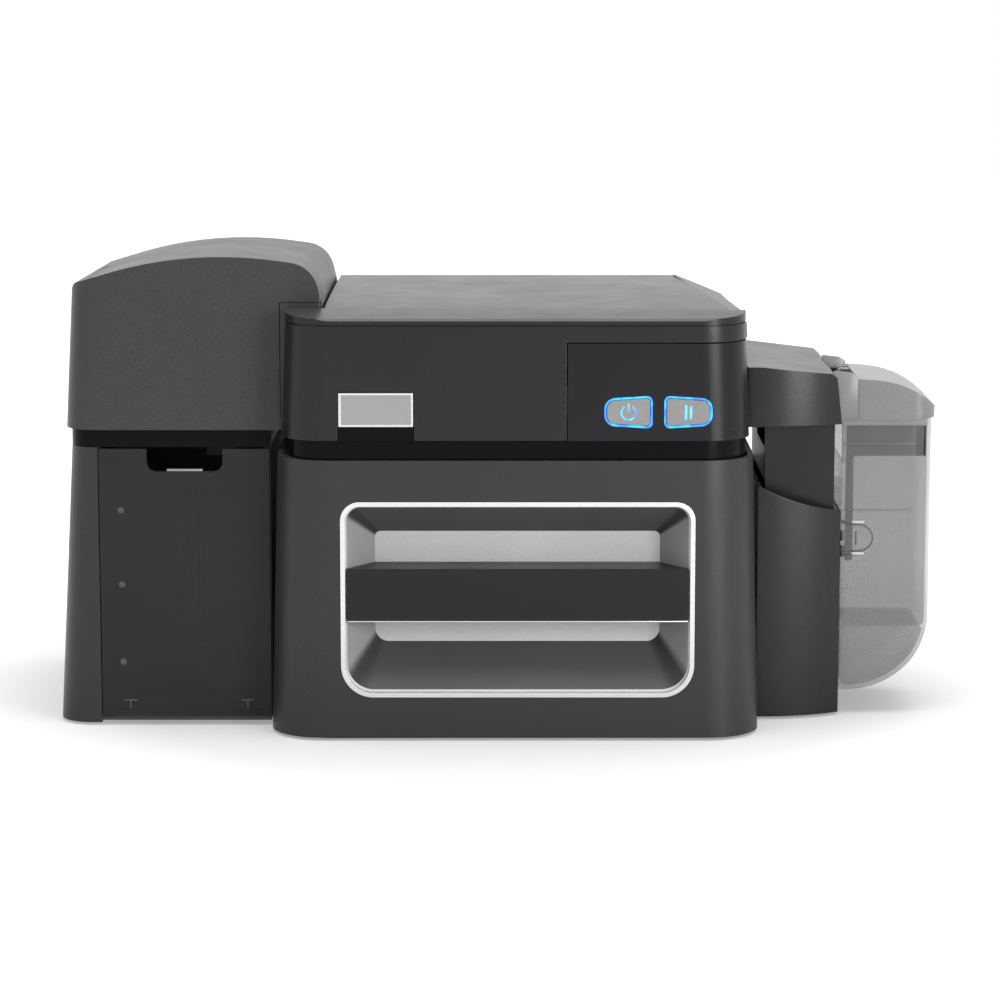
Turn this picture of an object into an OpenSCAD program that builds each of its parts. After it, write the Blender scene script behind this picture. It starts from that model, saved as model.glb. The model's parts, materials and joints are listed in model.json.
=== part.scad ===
// ID card printer with an input tower on the left and an output module on the right.
// X runs to the right, Y to the back, Z up; the floor is Z = 0. All lengths are in millimetres.

/* [Main body] */
// Width of the main body at its foot
body_w = 258; // [250:1:266]
// How much narrower the main body is at the waist, both sides together
body_draft = 8; // [2:1:12]
// X of the middle of the main body
body_x = 9; // [7:0.5:11]
// Y of the front face
front_y = -117; // [-120:0.5:-114]
// Y of the back face
back_y = 117.5; // [114:0.5:120]
// Radius of the front corners seen from above
corner_r = 29; // [22:1:32]
// Radius of the rear corners seen from above
rear_corner_r = 12; // [6:1:16]
// Thickness of the moulded walls
wall = 3; // [2.4:0.2:3.4]
// Height of the casing's lower edge above the floor
foot_h = 1.5; // [1:0.1:3]
// Height of the top edge of the front door and the lower casing
waist_z = 148.5; // [146:0.5:150]
// Height of the gloss band between the lower casing and the lid
band_h = 10; // [8:0.5:11]
// How far the band stands in from the casing
band_inset = 4; // [3.5:0.25:6]

/* [Lid] */
// Width of the lid at its lower edge
lid_w = 245; // [241:1:248]
// How much narrower the lid is at its top, both sides together
lid_draft = 5; // [1:1:8]
// Height of the lid's front edge
lid_top_z = 222.4; // [219:0.1:224]
// Thickness of the lid's top plate at its front edge
lid_plate = 3; // [2.4:0.2:4]
// Rise of the crown above the front edge
lid_crown = 2.6; // [1:0.1:4]
// Radius of the rounded back edge, which is also the hinge barrel
lid_barrel_r = 8; // [6:0.5:9]
// Width of the groove under the lid's top plate
lid_groove = 0.8; // [0.5:0.1:1.5]
// Y where the lid steps in beside the tower
lid_step_y = -84; // [-88:0.5:-83.5]

/* [Front door] */
// Distance of the door's hinge axis behind the front face
door_axis_in = 7.5; // [6:0.25:7.5]
// Height of the door's hinge axis
door_axis_z = 20; // [20:0.5:24]
// How far the door wraps around the corners, from the front face
door_wrap = 27.4; // [24:0.2:28]
// Width of the handle recess at the front
recess_w = 179.7; // [150:0.5:182]
// Height of the handle recess at the front
recess_h = 98.7; // [90:0.1:102]
// Height of the recess' lower edge
recess_z = 25.8; // [25:0.1:28]
// Depth of the recess
recess_depth = 22; // [16:0.5:23]
// Width of the recess floor
recess_floor_w = 150; // [130:0.5:156]
// Height of the recess floor
recess_floor_h = 59; // [50:0.5:64]
// Width of the bright trim around the recess
bezel_w = 2.5; // [1.5:0.1:3.5]
// Height of the handle bar
bar_h = 27.6; // [20:0.1:30]
// Height of the handle bar's lower edge
bar_z = 64; // [60:0.5:68]

/* [Control panel] */
// Height of the panel's upper seam
panel_top_z = 210; // [204:0.5:214]
// X of the panel's left seam
panel_left_x = 35.5; // [30:0.5:42]
// Width of a button
button_w = 22.2; // [18:0.1:24]
// Height of a button
button_h = 14; // [11:0.1:15]
// Distance between the middles of the two buttons
button_pitch = 31; // [28:0.5:33]
// Height of the buttons' middle
button_z = 174; // [171:0.5:178]
// Travel of a button
button_travel = 1.2; // [0.8:0.1:1.5]

/* [Input tower] */
// X of the tower's left face at the floor
tower_left_x = -235; // [-238:0.5:-232]
// Y of the tower's front face
tower_front_y = -80; // [-83:0.5:-79]
// Y of the tower's back face
tower_back_y = 100; // [90:1:104]
// Height of the top of the lower smoked door
output_door_top_z = 149.3; // [147:0.1:150]
// Height of the hood's highest point
hood_top_z = 250.9; // [248:0.1:254]
// X of the hood's right foot beside the lid
hood_foot_x = -92.4; // [-94:0.1:-92]
// Thickness of the hood and its door
hood_wall = 3; // [2.4:0.2:3.2]
// Y of the hopper door's hinge
hopper_hinge_y = 25; // [15:1:35]
// Radius of the hopper door's hinge barrel
hopper_barrel_r = 4; // [3.5:0.25:4.5]

/* [Cards] */
// Length of a card
card_l = 85.6; // [85.6:0.1:86]
// Width of a card
card_w = 54; // [53.98:0.01:54.5]
// Height of the card path
card_z = 157; // [156:0.5:158]
// Y of the middle of the card path
card_y = -18; // [-20:0.5:-16]

/* [Transport] */
// Radius of the driven rollers
roller_r = 8; // [6:0.5:9]
// Radius of the roller shafts
shaft_r = 3; // [2:0.25:3.5]
// Running clearance of a shaft in its hole, on the radius
shaft_clear = 0.06; // [0.03:0.01:0.1]
// Teeth of the gear on each driven roller
roller_teeth = 30; // [28:2:32]
// Teeth of the idler gears
idler_teeth = 40; // [36:4:40]
// Teeth of the motor pinion
pinion_teeth = 15; // [14:1:16]
// Gear module
gear_m = 1; // [0.9:0.05:1]
// Thickness of the gears
gear_t = 6; // [4:0.5:8]
// Thickness of the two frame plates
plate_t = 2; // [1.5:0.25:3]

/* [Ribbon cartridge] */
// Height of the two ribbon spools' axes
spool_z = 84; // [78:1:88]
// Distance between the two spools' axes
spool_pitch = 84; // [76:1:90]
// Radius of the full supply roll
supply_r = 22; // [18:0.5:25]
// Radius of the take-up roll
takeup_r = 15; // [11:0.5:22]

/* [Output module] */
// X of the module's right face at the floor
module_right_x = 184; // [182:0.5:186]
// Height of the module's top at its left
module_top_z = 191; // [188:0.5:194]
// Height of the upper cover's lower edge
module_split_z = 159; // [157:0.5:161]

/* [Output bin] */
// X of the bin's right end at its lid
bin_right_x = 235; // [232:0.5:238]
// Height of the bin's upper edge, under its lid
bin_top_z = 161; // [158:0.5:163]
// Thickness of the clear walls
clear_wall = 2; // [1.6:0.1:2.4]

/* [Fits] */
// Gap between neighbouring covers
seam = 0.4; // [0.3:0.05:0.6]
// Gap between a moving piece and what it moves past
gap = 0.6; // [0.4:0.05:0.8]

/* [Hidden] */

EPS = 0.02;
ARC = 48;
SIDE_ARC = 32;

// Colours, as the photograph shows them
DARK = "#3a3a3c";
LID_DARK = "#2b2b2d";
GLOSS = "#101012";
SILVER = "#b8b9bb";
BRIGHT = "#d4d5d8";
STEEL = "#a9adb2";
SMOKE = [0.35, 0.36, 0.38, 0.5];
GLOW = "#3fb4ff";

// Main body
body_top_w = body_w - body_draft;
lid_z = waist_z + band_h + seam;
door_axis_y = front_y + door_axis_in;
door_top_z = waist_z;
door_sweep_r = sqrt(pow(door_axis_in, 2) + pow(door_axis_z - foot_h, 2));
door_back_y = front_y + door_wrap;
casing_front_y = door_axis_y + door_sweep_r + gap;
band_x0 = body_x - body_top_w / 2 + band_inset;
band_x1 = body_x + body_top_w / 2 - band_inset;

function body_x0(z) = body_x - body_w / 2 + body_draft / 2 * (z - foot_h) / (waist_z - foot_h);
function body_x1(z) = 2 * body_x - body_x0(z);

// Lid
lid_axis_y = back_y - lid_barrel_r - gap;
lid_axis_z = lid_top_z - lid_barrel_r - 0.4;
lid_seam_z = lid_top_z - lid_plate;
lid_back_y = lid_axis_y - lid_barrel_r;
lid_left_x = hood_foot_x + 1.6;
lid_pin_r = 2.5;
lid_ear_w = 10;
lid_ear_x = [body_x - 62, body_x + 82];

function lid_x0(z) = body_x - lid_w / 2 + lid_draft / 2 * (z - lid_z) / (lid_top_z - lid_z);
function lid_x1(z) = 2 * body_x - lid_x0(z);

// Tower
tower_right_x = body_x - body_w / 2 - seam;
tower_lean = body_draft / (waist_z - foot_h);
hood_bottom_z = waist_z + band_h + seam;
hood_left_x = tower_left_x + 5.4;
hopper_axis_x = hood_left_x + hopper_barrel_r;

function tower_x0(z) = tower_left_x + tower_lean * (z - foot_h);
function hood_x0(z) = hood_left_x + tower_lean * (z - hood_bottom_z);

// Points of the corners of a plan with rounded corners, from the front left, counter-clockwise
function plan_points(x0, x1, y0, y1, r) = concat(
    r[0] > 0 ? [[x0, y0 + r[0]], [x0 + r[0], y0]] : [[x0, y0]],
    r[1] > 0 ? [[x1 - r[1], y0], [x1, y0 + r[1]]] : [[x1, y0]],
    r[2] > 0 ? [[x1, y1 - r[2]], [x1 - r[2], y1]] : [[x1, y1]],
    r[3] > 0 ? [[x0 + r[3], y1], [x0, y1 - r[3]]] : [[x0, y1]]
);

// A rectangle with four corner radii: front left, front right, back right, back left
module plan(x0, x1, y0, y1, r = [0, 0, 0, 0]) {
    polygon(plan_points(x0, x1, y0, y1, r));
    for (c = [
        [x0 + r[0], y0 + r[0], r[0], -1, -1],
        [x1 - r[1], y0 + r[1], r[1], 0, -1],
        [x1 - r[2], y1 - r[2], r[2], 0, 0],
        [x0 + r[3], y1 - r[3], r[3], -1, 0]
    ])
        if (c[2] > 0)
            translate([c[0], c[1]]) intersection() {
                circle(r = c[2], $fn = ARC);
                translate([c[3] * c[2], c[4] * c[2]]) square(c[2]);
            }
}

// A plan drawn up from z0 to z1
module block(x0, x1, y0, y1, z0, z1, r = [0, 0, 0, 0]) {
    translate([0, 0, z0]) linear_extrude(z1 - z0) plan(x0, x1, y0, y1, r);
}

// A block whose plan changes from a at z0 to b at z1, each [x0, x1, y0, y1]
module loft(a, z0, b, z1, r) {
    hull() {
        block(a[0], a[1], a[2], a[3], z0, z0 + EPS, r);
        block(b[0], b[1], b[2], b[3], z1 - EPS, z1, r);
    }
}

// A round bar along X, Y or Z from one coordinate to another
module bar_x(x0, x1, y, z, r) {
    translate([x0, y, z]) rotate([0, 90, 0]) cylinder(r = r, h = x1 - x0, $fn = SIDE_ARC);
}
module bar_y(x, y0, y1, z, r) {
    translate([x, y1, z]) rotate([90, 0, 0]) cylinder(r = r, h = y1 - y0, $fn = SIDE_ARC);
}
module bar_z(x, y, z0, z1, r) {
    translate([x, y, z0]) cylinder(r = r, h = z1 - z0, $fn = SIDE_ARC);
}

// A flat shape in X and Z, drawn through from y0 to y1
module front_plate(y0, y1) {
    translate([0, y1, 0]) rotate([90, 0, 0]) linear_extrude(y1 - y0) children();
}

// Frame plates, print line and gear train
plate_front_y = card_y - card_w / 2 - 5;
plate_back_y = card_y + card_w / 2 + 5;
frame_x0 = body_x - 92;
frame_x1 = body_x + 92;
frame_top_z = card_z + 22;
frame_foot_z = foot_h + 4;
nip = 0.8;
roller_z = card_z + nip + roller_r;
gear_step = gear_m * (roller_teeth + idler_teeth) / 2;
roller_x = [body_x - 2 * gear_step, body_x, body_x + 2 * gear_step];
idler_x = [body_x - gear_step, body_x + gear_step];
pinion_z = roller_z - gear_m * (idler_teeth + pinion_teeth) / 2;
gear_y = plate_back_y + plate_t + gap;
stud_r = 2;
pinch_r = 6;
pinch_z = card_z - pinch_r;
pinch_shaft_r = 2.5;
bore_r = shaft_r + shaft_clear;
window_x = [body_x - spool_pitch / 2 - supply_r - 6, body_x + spool_pitch / 2 + supply_r + 6];
window_z = [spool_z - supply_r - 6, card_z - 6];
spool_x = [body_x - spool_pitch / 2, body_x + spool_pitch / 2];
spool_journal_r = 4;
spool_core_r = 8;
cartridge_t = 2.4;
cartridge_y = [plate_front_y - plate_t - 10, plate_back_y - cartridge_t - seam];
head_w = 18;
head_top_z = card_z - 0.9;
head_foot_z = head_top_z - 12;
sink_z = [spool_z + supply_r + 4, head_foot_z];

// Floor of the main body, with the sockets of the feet
module base_tray() {
    color(DARK) difference() {
        union() {
            block(body_x0(foot_h) + wall + seam, body_x1(foot_h) - wall - seam, casing_front_y + gap,
                back_y - wall - seam, foot_h, frame_foot_z, [0, 0, 9, 9]);
            for (y = [plate_front_y - plate_t, plate_back_y])
                block(frame_x0, frame_x1, y - 4, y + plate_t + 4, frame_foot_z, frame_foot_z + 3);
        }
        for (y = [plate_front_y - plate_t, plate_back_y])
            block(frame_x0 - 1, frame_x1 + 1, y - EPS, y + plate_t + EPS, frame_foot_z, frame_foot_z + 4);
        for (x = [-60 : 20 : 60])
            block(body_x + x - 4, body_x + x + 4, 40, 80, foot_h - 1, frame_foot_z + 1);
    }
    color(DARK) door_arms();
}

// Rubber feet under the body, the tower and the module
foot_r = 8;
feet_at = [
    [body_x - 100, casing_front_y + 16], [body_x + 100, casing_front_y + 16],
    [body_x - 100, back_y - 20], [body_x + 100, back_y - 20],
    [tower_left_x + 26, tower_front_y + 26], [tower_left_x + 26, tower_back_y - 22]
];

module rubber_feet() {
    color("#1a1a1a") for (p = feet_at)
        translate([p[0], p[1], 0]) cylinder(r1 = foot_r - 1, r2 = foot_r, h = foot_h, $fn = SIDE_ARC);
}

// Outer and inner form of the lower casing, shared by the casing and the door
module body_form(inset, z0, z1) {
    r = [corner_r - inset, corner_r - inset, rear_corner_r - inset, rear_corner_r - inset];
    loft([body_x0(z0) + inset, body_x1(z0) - inset, front_y + inset, back_y - inset], z0,
        [body_x0(z1) + inset, body_x1(z1) - inset, front_y + inset, back_y - inset], z1, r);
}

// Everything in front of the casing's edge: straight above the hinge, round about it below
module door_zone(r, y) {
    half = body_w;
    block(body_x - half, body_x + half, front_y - 9, y, door_axis_z, waist_z + 9);
    block(body_x - half, body_x + half, front_y - 9, door_axis_y, -9, door_axis_z + EPS);
    translate([body_x - half, door_axis_y, door_axis_z]) rotate([0, 90, 0])
        cylinder(r = r, h = 2 * half, $fn = 64);
}

inlet_x = body_x + 86;
inlet_z = 34;
usb_x = body_x + 40;
vent_x0 = body_x - 96;

// Side walls and back wall of the lower casing
module main_casing() {
    color(DARK) difference() {
        body_form(0, foot_h, waist_z);
        body_form(wall, foot_h - 1, waist_z + 1);
        door_zone(door_sweep_r + gap, casing_front_y);
        block(inlet_x - 14, inlet_x + 14, back_y - wall - 1, back_y + 1, inlet_z - 10, inlet_z + 10);
        block(usb_x - 6.5, usb_x + 6.5, back_y - wall - 1, back_y + 1, inlet_z - 6, inlet_z + 6);
        for (i = [0 : 11])
            block(vent_x0 + 8 * i, vent_x0 + 8 * i + 4, back_y - wall - 1, back_y + 1, 60, 110);
    }
}

// Gloss band between the casing and the lid, with the slots that the cards pass through
module waist_band() {
    slot = card_w / 2 + 2;
    color(GLOSS) difference() {
        block(band_x0, band_x1, front_y + band_inset, back_y - band_inset, waist_z, waist_z + band_h,
            [corner_r - band_inset, corner_r - band_inset, rear_corner_r - band_inset,
            rear_corner_r - band_inset]);
        block(band_x0 + wall, band_x1 - wall, front_y + band_inset + wall, back_y - band_inset - wall,
            waist_z - 1, waist_z + band_h + 1, [22, 22, 5, 5]);
        block(band_x0 - 1, band_x1 + 1, card_y - slot, card_y + slot, card_z - 2.5, waist_z + band_h + 1);
    }
}

// Back wall of the upper part, with the two ears that carry the lid
rear_top_z = lid_axis_z - lid_barrel_r - gap;
module rear_cover() {
    y0 = lid_back_y + gap;
    color(DARK) difference() {
        union() {
            difference() {
                block(lid_left_x, lid_x1(lid_z), y0, back_y, waist_z + band_h, rear_top_z, [0, 0, 12, 3]);
                block(lid_left_x + wall, lid_x1(lid_z) - wall, y0 - 1, back_y - wall, waist_z + band_h - 1,
                    rear_top_z - wall, [0, 0, 9, 0]);
                for (i = [0 : 9])
                    block(vent_x0 + 34 + 12 * i, vent_x0 + 38 + 12 * i, back_y - wall - 1, back_y + 1, 170, 194);
            }
            for (x = lid_ear_x)
                lid_ear(x);
        }
        for (x = lid_ear_x)
            bar_x(x - 1, x + lid_ear_w + 1, lid_axis_y, lid_axis_z, lid_pin_r);
    }
}

// An upright ear with a round head about the lid's axis
module lid_ear(x) {
    block(x, x + lid_ear_w, lid_axis_y - 5, lid_axis_y + 5, rear_top_z - wall - EPS, lid_axis_z);
    bar_x(x, x + lid_ear_w, lid_axis_y, lid_axis_z, 5);
}

// Steel pins of the lid hinge, fixed in the ears
module lid_hinge_pins() {
    color(STEEL) for (x = lid_ear_x)
        bar_x(x - 9, x + lid_ear_w + 9, lid_axis_y, lid_axis_z, lid_pin_r);
}

// Mains inlet: a socket with three blades
module power_inlet() {
    color(GLOSS) difference() {
        union() {
            block(inlet_x - 13.7, inlet_x + 13.7, back_y - 24, back_y - 1, inlet_z - 9.7, inlet_z + 9.7);
            block(inlet_x - 16, inlet_x + 16, back_y - wall - 2.5, back_y - wall, inlet_z - 12, inlet_z + 12);
        }
        block(inlet_x - 11.5, inlet_x + 11.5, back_y - 18, back_y + 1, inlet_z - 7.5, inlet_z + 7.5);
    }
    color(STEEL) for (p = [[-7, -1.5], [0, 2.5], [7, -1.5]])
        block(inlet_x + p[0] - 1, inlet_x + p[0] + 1, back_y - 19, back_y - 4,
            inlet_z + p[1] - 2, inlet_z + p[1] + 2);
}

// Square USB socket on the main board
module usb_port() {
    color(STEEL) difference() {
        block(usb_x - 6, usb_x + 6, back_y - 18, back_y - 0.5, inlet_z - 5.5, inlet_z + 5.5);
        block(usb_x - 4.5, usb_x + 4.5, back_y - 12, back_y + 1, inlet_z - 4, inlet_z + 4);
    }
    color(DARK)
        block(usb_x - 2.8, usb_x + 2.8, back_y - 13, back_y - 3, inlet_z - 1.6, inlet_z + 1.6);
}

// Main board, standing behind the gears, with its chips and connectors
module main_board() {
    x0 = body_x - 70;
    z0 = frame_foot_z + 13;
    color("#1f5a35") block(x0, usb_x + 20, back_y - 60, back_y - 8, z0, z0 + 1.6);
    color("#202022") {
        block(x0 + 20, x0 + 44, back_y - 46, back_y - 22, z0 + 1.6, z0 + 4);
        block(x0 + 60, x0 + 76, back_y - 40, back_y - 28, z0 + 1.6, z0 + 3.4);
        for (i = [0 : 3])
            block(x0 + 8 + 22 * i, x0 + 24 + 22 * i, back_y - 58, back_y - 52, z0 + 1.6, z0 + 9);
    }
    color(STEEL) for (x = [x0 + 5, usb_x + 15], y = [back_y - 55, back_y - 13])
        bar_z(x, y, frame_foot_z, z0, 2.5);
    color("#1f5a35") block(usb_x - 8, usb_x + 8, back_y - 18, back_y - 10, z0 + 1.6, inlet_z - 5.5);
}

// Power supply: a pierced steel box beside the board
module power_supply() {
    x0 = usb_x + 26;
    x1 = body_x1(waist_z) - wall - 4;
    color(STEEL) difference() {
        block(x0, x1, plate_back_y + 30, back_y - 26, frame_foot_z, 62);
        block(x0 + 1.5, x1 - 1.5, plate_back_y + 31.5, back_y - 27.5, frame_foot_z + 1.5, 60.5);
        for (i = [0 : 4], j = [0 : 3])
            bar_z(x0 + 8 + 9 * i, plate_back_y + 40 + 9 * j, 58, 64, 2);
    }
}

// A frame plate in X and Z, without its holes
module frame_outline() {
    translate([frame_x0, frame_foot_z]) square([frame_x1 - frame_x0, frame_top_z - frame_foot_z]);
}

// Round holes for the roller shafts and the pinch shafts
module shaft_holes() {
    for (x = roller_x)
        translate([x, roller_z]) circle(r = bore_r, $fn = SIDE_ARC);
    for (x = [roller_x[0], roller_x[2]])
        translate([x, pinch_z]) circle(r = pinch_shaft_r + shaft_clear, $fn = SIDE_ARC);
}

// Steel plate in front of the rollers, with the window for the ribbon cartridge
module front_frame_plate() {
    color(STEEL) front_plate(plate_front_y - plate_t, plate_front_y) difference() {
        frame_outline();
        shaft_holes();
        translate([window_x[0], window_z[0]])
            square([window_x[1] - window_x[0], window_z[1] - window_z[0]]);
        for (x = [frame_x0 + 10, frame_x1 - 10], z = [20, 36])
            translate([x, z]) circle(r = 2.5, $fn = SIDE_ARC);
    }
}

// Steel plate behind the rollers, which carries the gears and the motor
module rear_frame_plate() {
    color(STEEL) {
        front_plate(plate_back_y, plate_back_y + plate_t) difference() {
            frame_outline();
            shaft_holes();
            for (x = spool_x)
                translate([x, spool_z]) circle(r = 6, $fn = SIDE_ARC);
            translate([idler_x[1], pinion_z]) circle(r = 5, $fn = SIDE_ARC);
        }
        for (x = idler_x)
            bar_y(x, plate_back_y + EPS, gear_y + gear_t + 1, roller_z, stud_r);
    }
}

// Round bars that hold the two frame plates apart
module frame_ties() {
    color(STEEL) for (p = [[frame_x0 + 6, 14], [frame_x1 - 6, 14], [frame_x0 + 6, frame_top_z - 40],
        [frame_x1 - 6, frame_top_z - 40]])
        bar_y(p[0], plate_front_y, plate_back_y, p[1], 4);
}

// Rails that hold the edges of the cards, above and below
module card_guides() {
    lip = 1.5;
    for (side = [0, 1]) {
        y0 = side ? card_y + card_w / 2 - lip : plate_front_y;
        y1 = side ? plate_back_y : card_y - card_w / 2 + lip;
        color("#55565a") difference() {
            block(band_x0 + wall + seam, band_x1 - wall - seam, y0, y1, card_z - 2.5, waist_z + band_h);
            block(band_x0, band_x1, card_y - card_w / 2 - 0.3, card_y + card_w / 2 + 0.3, card_z - 0.1, card_z + 0.9);
            for (x = [roller_x[0], roller_x[2]])
                block(x - 9, x + 9, card_y - card_w / 2, card_y + card_w / 2, card_z - 3, card_z + 3);
            block(body_x - 32, body_x + 32, card_y - card_w / 2, card_y + card_w / 2, card_z - 3, card_z + 3);
            for (x = roller_x)
                bar_y(x, plate_front_y - 1, plate_back_y + 1, roller_z, shaft_r + 2.8);
            for (x = [roller_x[0], roller_x[2]])
                bar_y(x, plate_front_y - 1, plate_back_y + 1, pinch_z, pinch_shaft_r + 1);
        }
    }
}

// Thermal print head: a ceramic strip with its heater line on an aluminium bar
module print_head() {
    y0 = card_y - card_w / 2 + 1;
    y1 = card_y + card_w / 2 - 1;
    color("#d9d4c6") block(body_x - head_w / 2, body_x + head_w / 2, y0, y1, head_top_z - 2, head_top_z - 0.6);
    color("#6b5a3a") bar_y(body_x, y0 + 2, y1 - 2, head_top_z - 2, 1.9);
    color(STEEL) block(body_x - head_w / 2, body_x + head_w / 2, y0, y1, head_foot_z, head_top_z - 2);
}

// Finned heat sink under the head, fixed to the rear plate
module head_heat_sink() {
    y0 = card_y - card_w / 2 + 1;
    color("#8f9296") {
        block(body_x - head_w / 2, body_x + head_w / 2, y0, plate_back_y, head_foot_z - 4, head_foot_z);
        for (i = [0 : 4])
            block(body_x - head_w / 2 + 4 * i, body_x - head_w / 2 + 4 * i + 2, y0, plate_back_y,
                sink_z[0], head_foot_z - 4 + EPS);
    }
}

// End plate of the ribbon cartridge: a body around the spools and two arms up to the head
module cartridge_outline() {
    r = supply_r + 3;
    difference() {
        union() {
            for (x = spool_x)
                translate([x, spool_z]) circle(r = r, $fn = ARC);
            translate([spool_x[0], spool_z - r]) square([spool_pitch, r + 12]);
            for (x = [body_x - 28, body_x + 20])
                translate([x, spool_z]) square([8, window_z[1] - spool_z - 4]);
        }
        for (x = spool_x)
            translate([x, spool_z]) circle(r = spool_journal_r + shaft_clear, $fn = SIDE_ARC);
    }
}

// Ribbon cartridge: two end plates, two tie bars, the guide bars at the head and a pull handle
module cartridge_frame() {
    color("#3f7fb5") {
        for (y = [cartridge_y[0], cartridge_y[1]])
            front_plate(y, y + cartridge_t) cartridge_outline();
        for (x = [body_x - 14, body_x + 10])
            block(x, x + 4, cartridge_y[0] + 1, cartridge_y[1] + 1, spool_z - supply_r, spool_z - supply_r + 5);
        for (x = [body_x - 24, body_x + 24])
            bar_y(x, cartridge_y[0] + 1, cartridge_y[1] + 1, window_z[1] - 8, 3);
    }
}

// Where a film that runs to the point p leaves a roll of radius r about c, on the side s
function leave_roll(c, r, p, s) = let (a = atan2(p[1] - c[1], p[0] - c[0]) + s * acos(r / norm(p - c)))
    c + r * [cos(a), sin(a)];

// Ribbon film, from the supply roll over the head to the take-up roll
module ribbon_film() {
    t = 0.3;
    guide = [26, window_z[1] - 4.6];
    over = [head_w / 2 + 0.6, head_top_z + 0.2];
    y0 = card_y - card_w / 2 + 1;
    line = [
        leave_roll([spool_x[0], spool_z], supply_r + 0.4, [body_x - guide[0], guide[1]], 1),
        [body_x - guide[0], guide[1]], [body_x - over[0], over[1]],
        [body_x + over[0], over[1]], [body_x + guide[0], guide[1]],
        leave_roll([spool_x[1], spool_z], takeup_r + 0.4, [body_x + guide[0], guide[1]], -1)
    ];
    color("#5a2f6a") front_plate(y0, y0 + card_w - 2)
        polygon(concat(line, [for (i = [5 : -1 : 0]) line[i] + [0, t]]));
}

// A spool with its film wound on, flanges and journals
module spool(x, r, c) {
    y0 = card_y - card_w / 2 + 1;
    y1 = card_y + card_w / 2 - 1;
    color("#e8e8ea") {
        bar_y(x, cartridge_y[0] + 0.2, cartridge_y[1] + cartridge_t - 0.2, spool_z, spool_journal_r);
        bar_y(x, cartridge_y[0] + cartridge_t + seam, cartridge_y[1] - seam, spool_z, spool_core_r);
    }
    color(c) bar_y(x, y0, y1, spool_z, r);
}

module supply_spool() {
    spool(spool_x[0], supply_r, "#6d2f7a");
}

module takeup_spool() {
    spool(spool_x[1], takeup_r, "#2c2440");
}

// A driven roller on its shaft, with a flat at the rear end that drives the gear
module driven_roller(x, c) {
    color(c) bar_y(x, card_y - card_w / 2 + 2, card_y + card_w / 2 - 2, roller_z, roller_r);
    color(STEEL) bar_y(x, plate_front_y - plate_t - 1.5, gear_y + gear_t + 1.5, roller_z, shaft_r);
}

module feed_roller() {
    driven_roller(roller_x[0], "#2a2a2c");
}

module platen_roller() {
    driven_roller(roller_x[1], "#4a4a50");
}

module exit_roller() {
    driven_roller(roller_x[2], "#2a2a2c");
}

// A sprung roller under the card path
module pinch_roller(x) {
    color("#77787c") bar_y(x, card_y - 18, card_y + 18, pinch_z, pinch_r);
    color(STEEL) bar_y(x, plate_front_y - plate_t - 1, plate_back_y + plate_t, pinch_z, pinch_shaft_r);
}

module feed_pinch_roller() {
    pinch_roller(roller_x[0]);
}

module exit_pinch_roller() {
    pinch_roller(roller_x[2]);
}

// Involute gears
PRESSURE = 20;
BACKLASH = 0.16;

// Polar angle of the involute of a base circle rb at radius r, in degrees
function involute(rb, r) = r <= rb ? 0 : sqrt(pow(r / rb, 2) - 1) * 180 / PI - acos(rb / r);

// Half the angle that a tooth takes at radius r
function tooth_half(n, r) = let (rp = gear_m * n / 2, rb = rp * cos(PRESSURE))
    90 / n - BACKLASH / 2 / rp * 180 / PI + involute(rb, rp) - involute(rb, r);

// The outline of one tooth, from its left root to its right root, about the angle a
function tooth(n, a) = let (
    rp = gear_m * n / 2,
    root = rp - 1.2 * gear_m,
    radii = [max(rp * cos(PRESSURE), root + 0.1), rp - 0.2 * gear_m, rp + 0.4 * gear_m, rp + 0.95 * gear_m],
    right = [for (r = concat([root], radii)) [r, -tooth_half(n, r)]],
    left = [for (i = [4 : -1 : 0]) [right[i][0], -right[i][1]]]
) [for (q = concat(right, left)) [q[0] * cos(a + q[1]), q[0] * sin(a + q[1])]];

// A spur gear about the Y axis at (x, z); first is the angle of its first tooth
module spur_gear(x, z, n, first, hole) {
    translate([x, gear_y + gear_t, z]) rotate([90, 0, 0]) difference() {
        linear_extrude(gear_t) polygon([for (i = [0 : n - 1]) each tooth(n, first + 360 / n * i)]);
        translate([0, 0, -1]) cylinder(r = hole, h = gear_t + 2, $fn = SIDE_ARC);
        if (n > 20)
            for (i = [0 : 4])
                rotate([0, 0, 72 * i]) translate([gear_m * n / 3.6, 0, -1])
                    cylinder(r = gear_m * n / 10, h = gear_t + 2, $fn = SIDE_ARC);
    }
}

module feed_gear() {
    color("#e9e5d8") spur_gear(roller_x[0], roller_z, roller_teeth, 0, shaft_r);
}

module platen_gear() {
    color("#e9e5d8") spur_gear(roller_x[1], roller_z, roller_teeth, 0, shaft_r);
}

module exit_gear() {
    color("#e9e5d8") spur_gear(roller_x[2], roller_z, roller_teeth, 0, shaft_r);
}

// Idlers stand half a tooth round, so that a gap meets each neighbour's tooth
module idler_gear_a() {
    color("#dcd8ca") spur_gear(idler_x[0], roller_z, idler_teeth, 180 / idler_teeth, stud_r + shaft_clear);
}

module idler_gear_b() {
    color("#dcd8ca") spur_gear(idler_x[1], roller_z, idler_teeth, 180 / idler_teeth, stud_r + shaft_clear);
}

// Pinion on the motor's shaft, with a tooth straight up
module motor_pinion() {
    color("#c9a24a") spur_gear(idler_x[1], pinion_z, pinion_teeth, 90, 1.5);
    color(STEEL) bar_y(idler_x[1], gear_y - 1, gear_y + gear_t + 3, pinion_z, 1.5);
}

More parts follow.
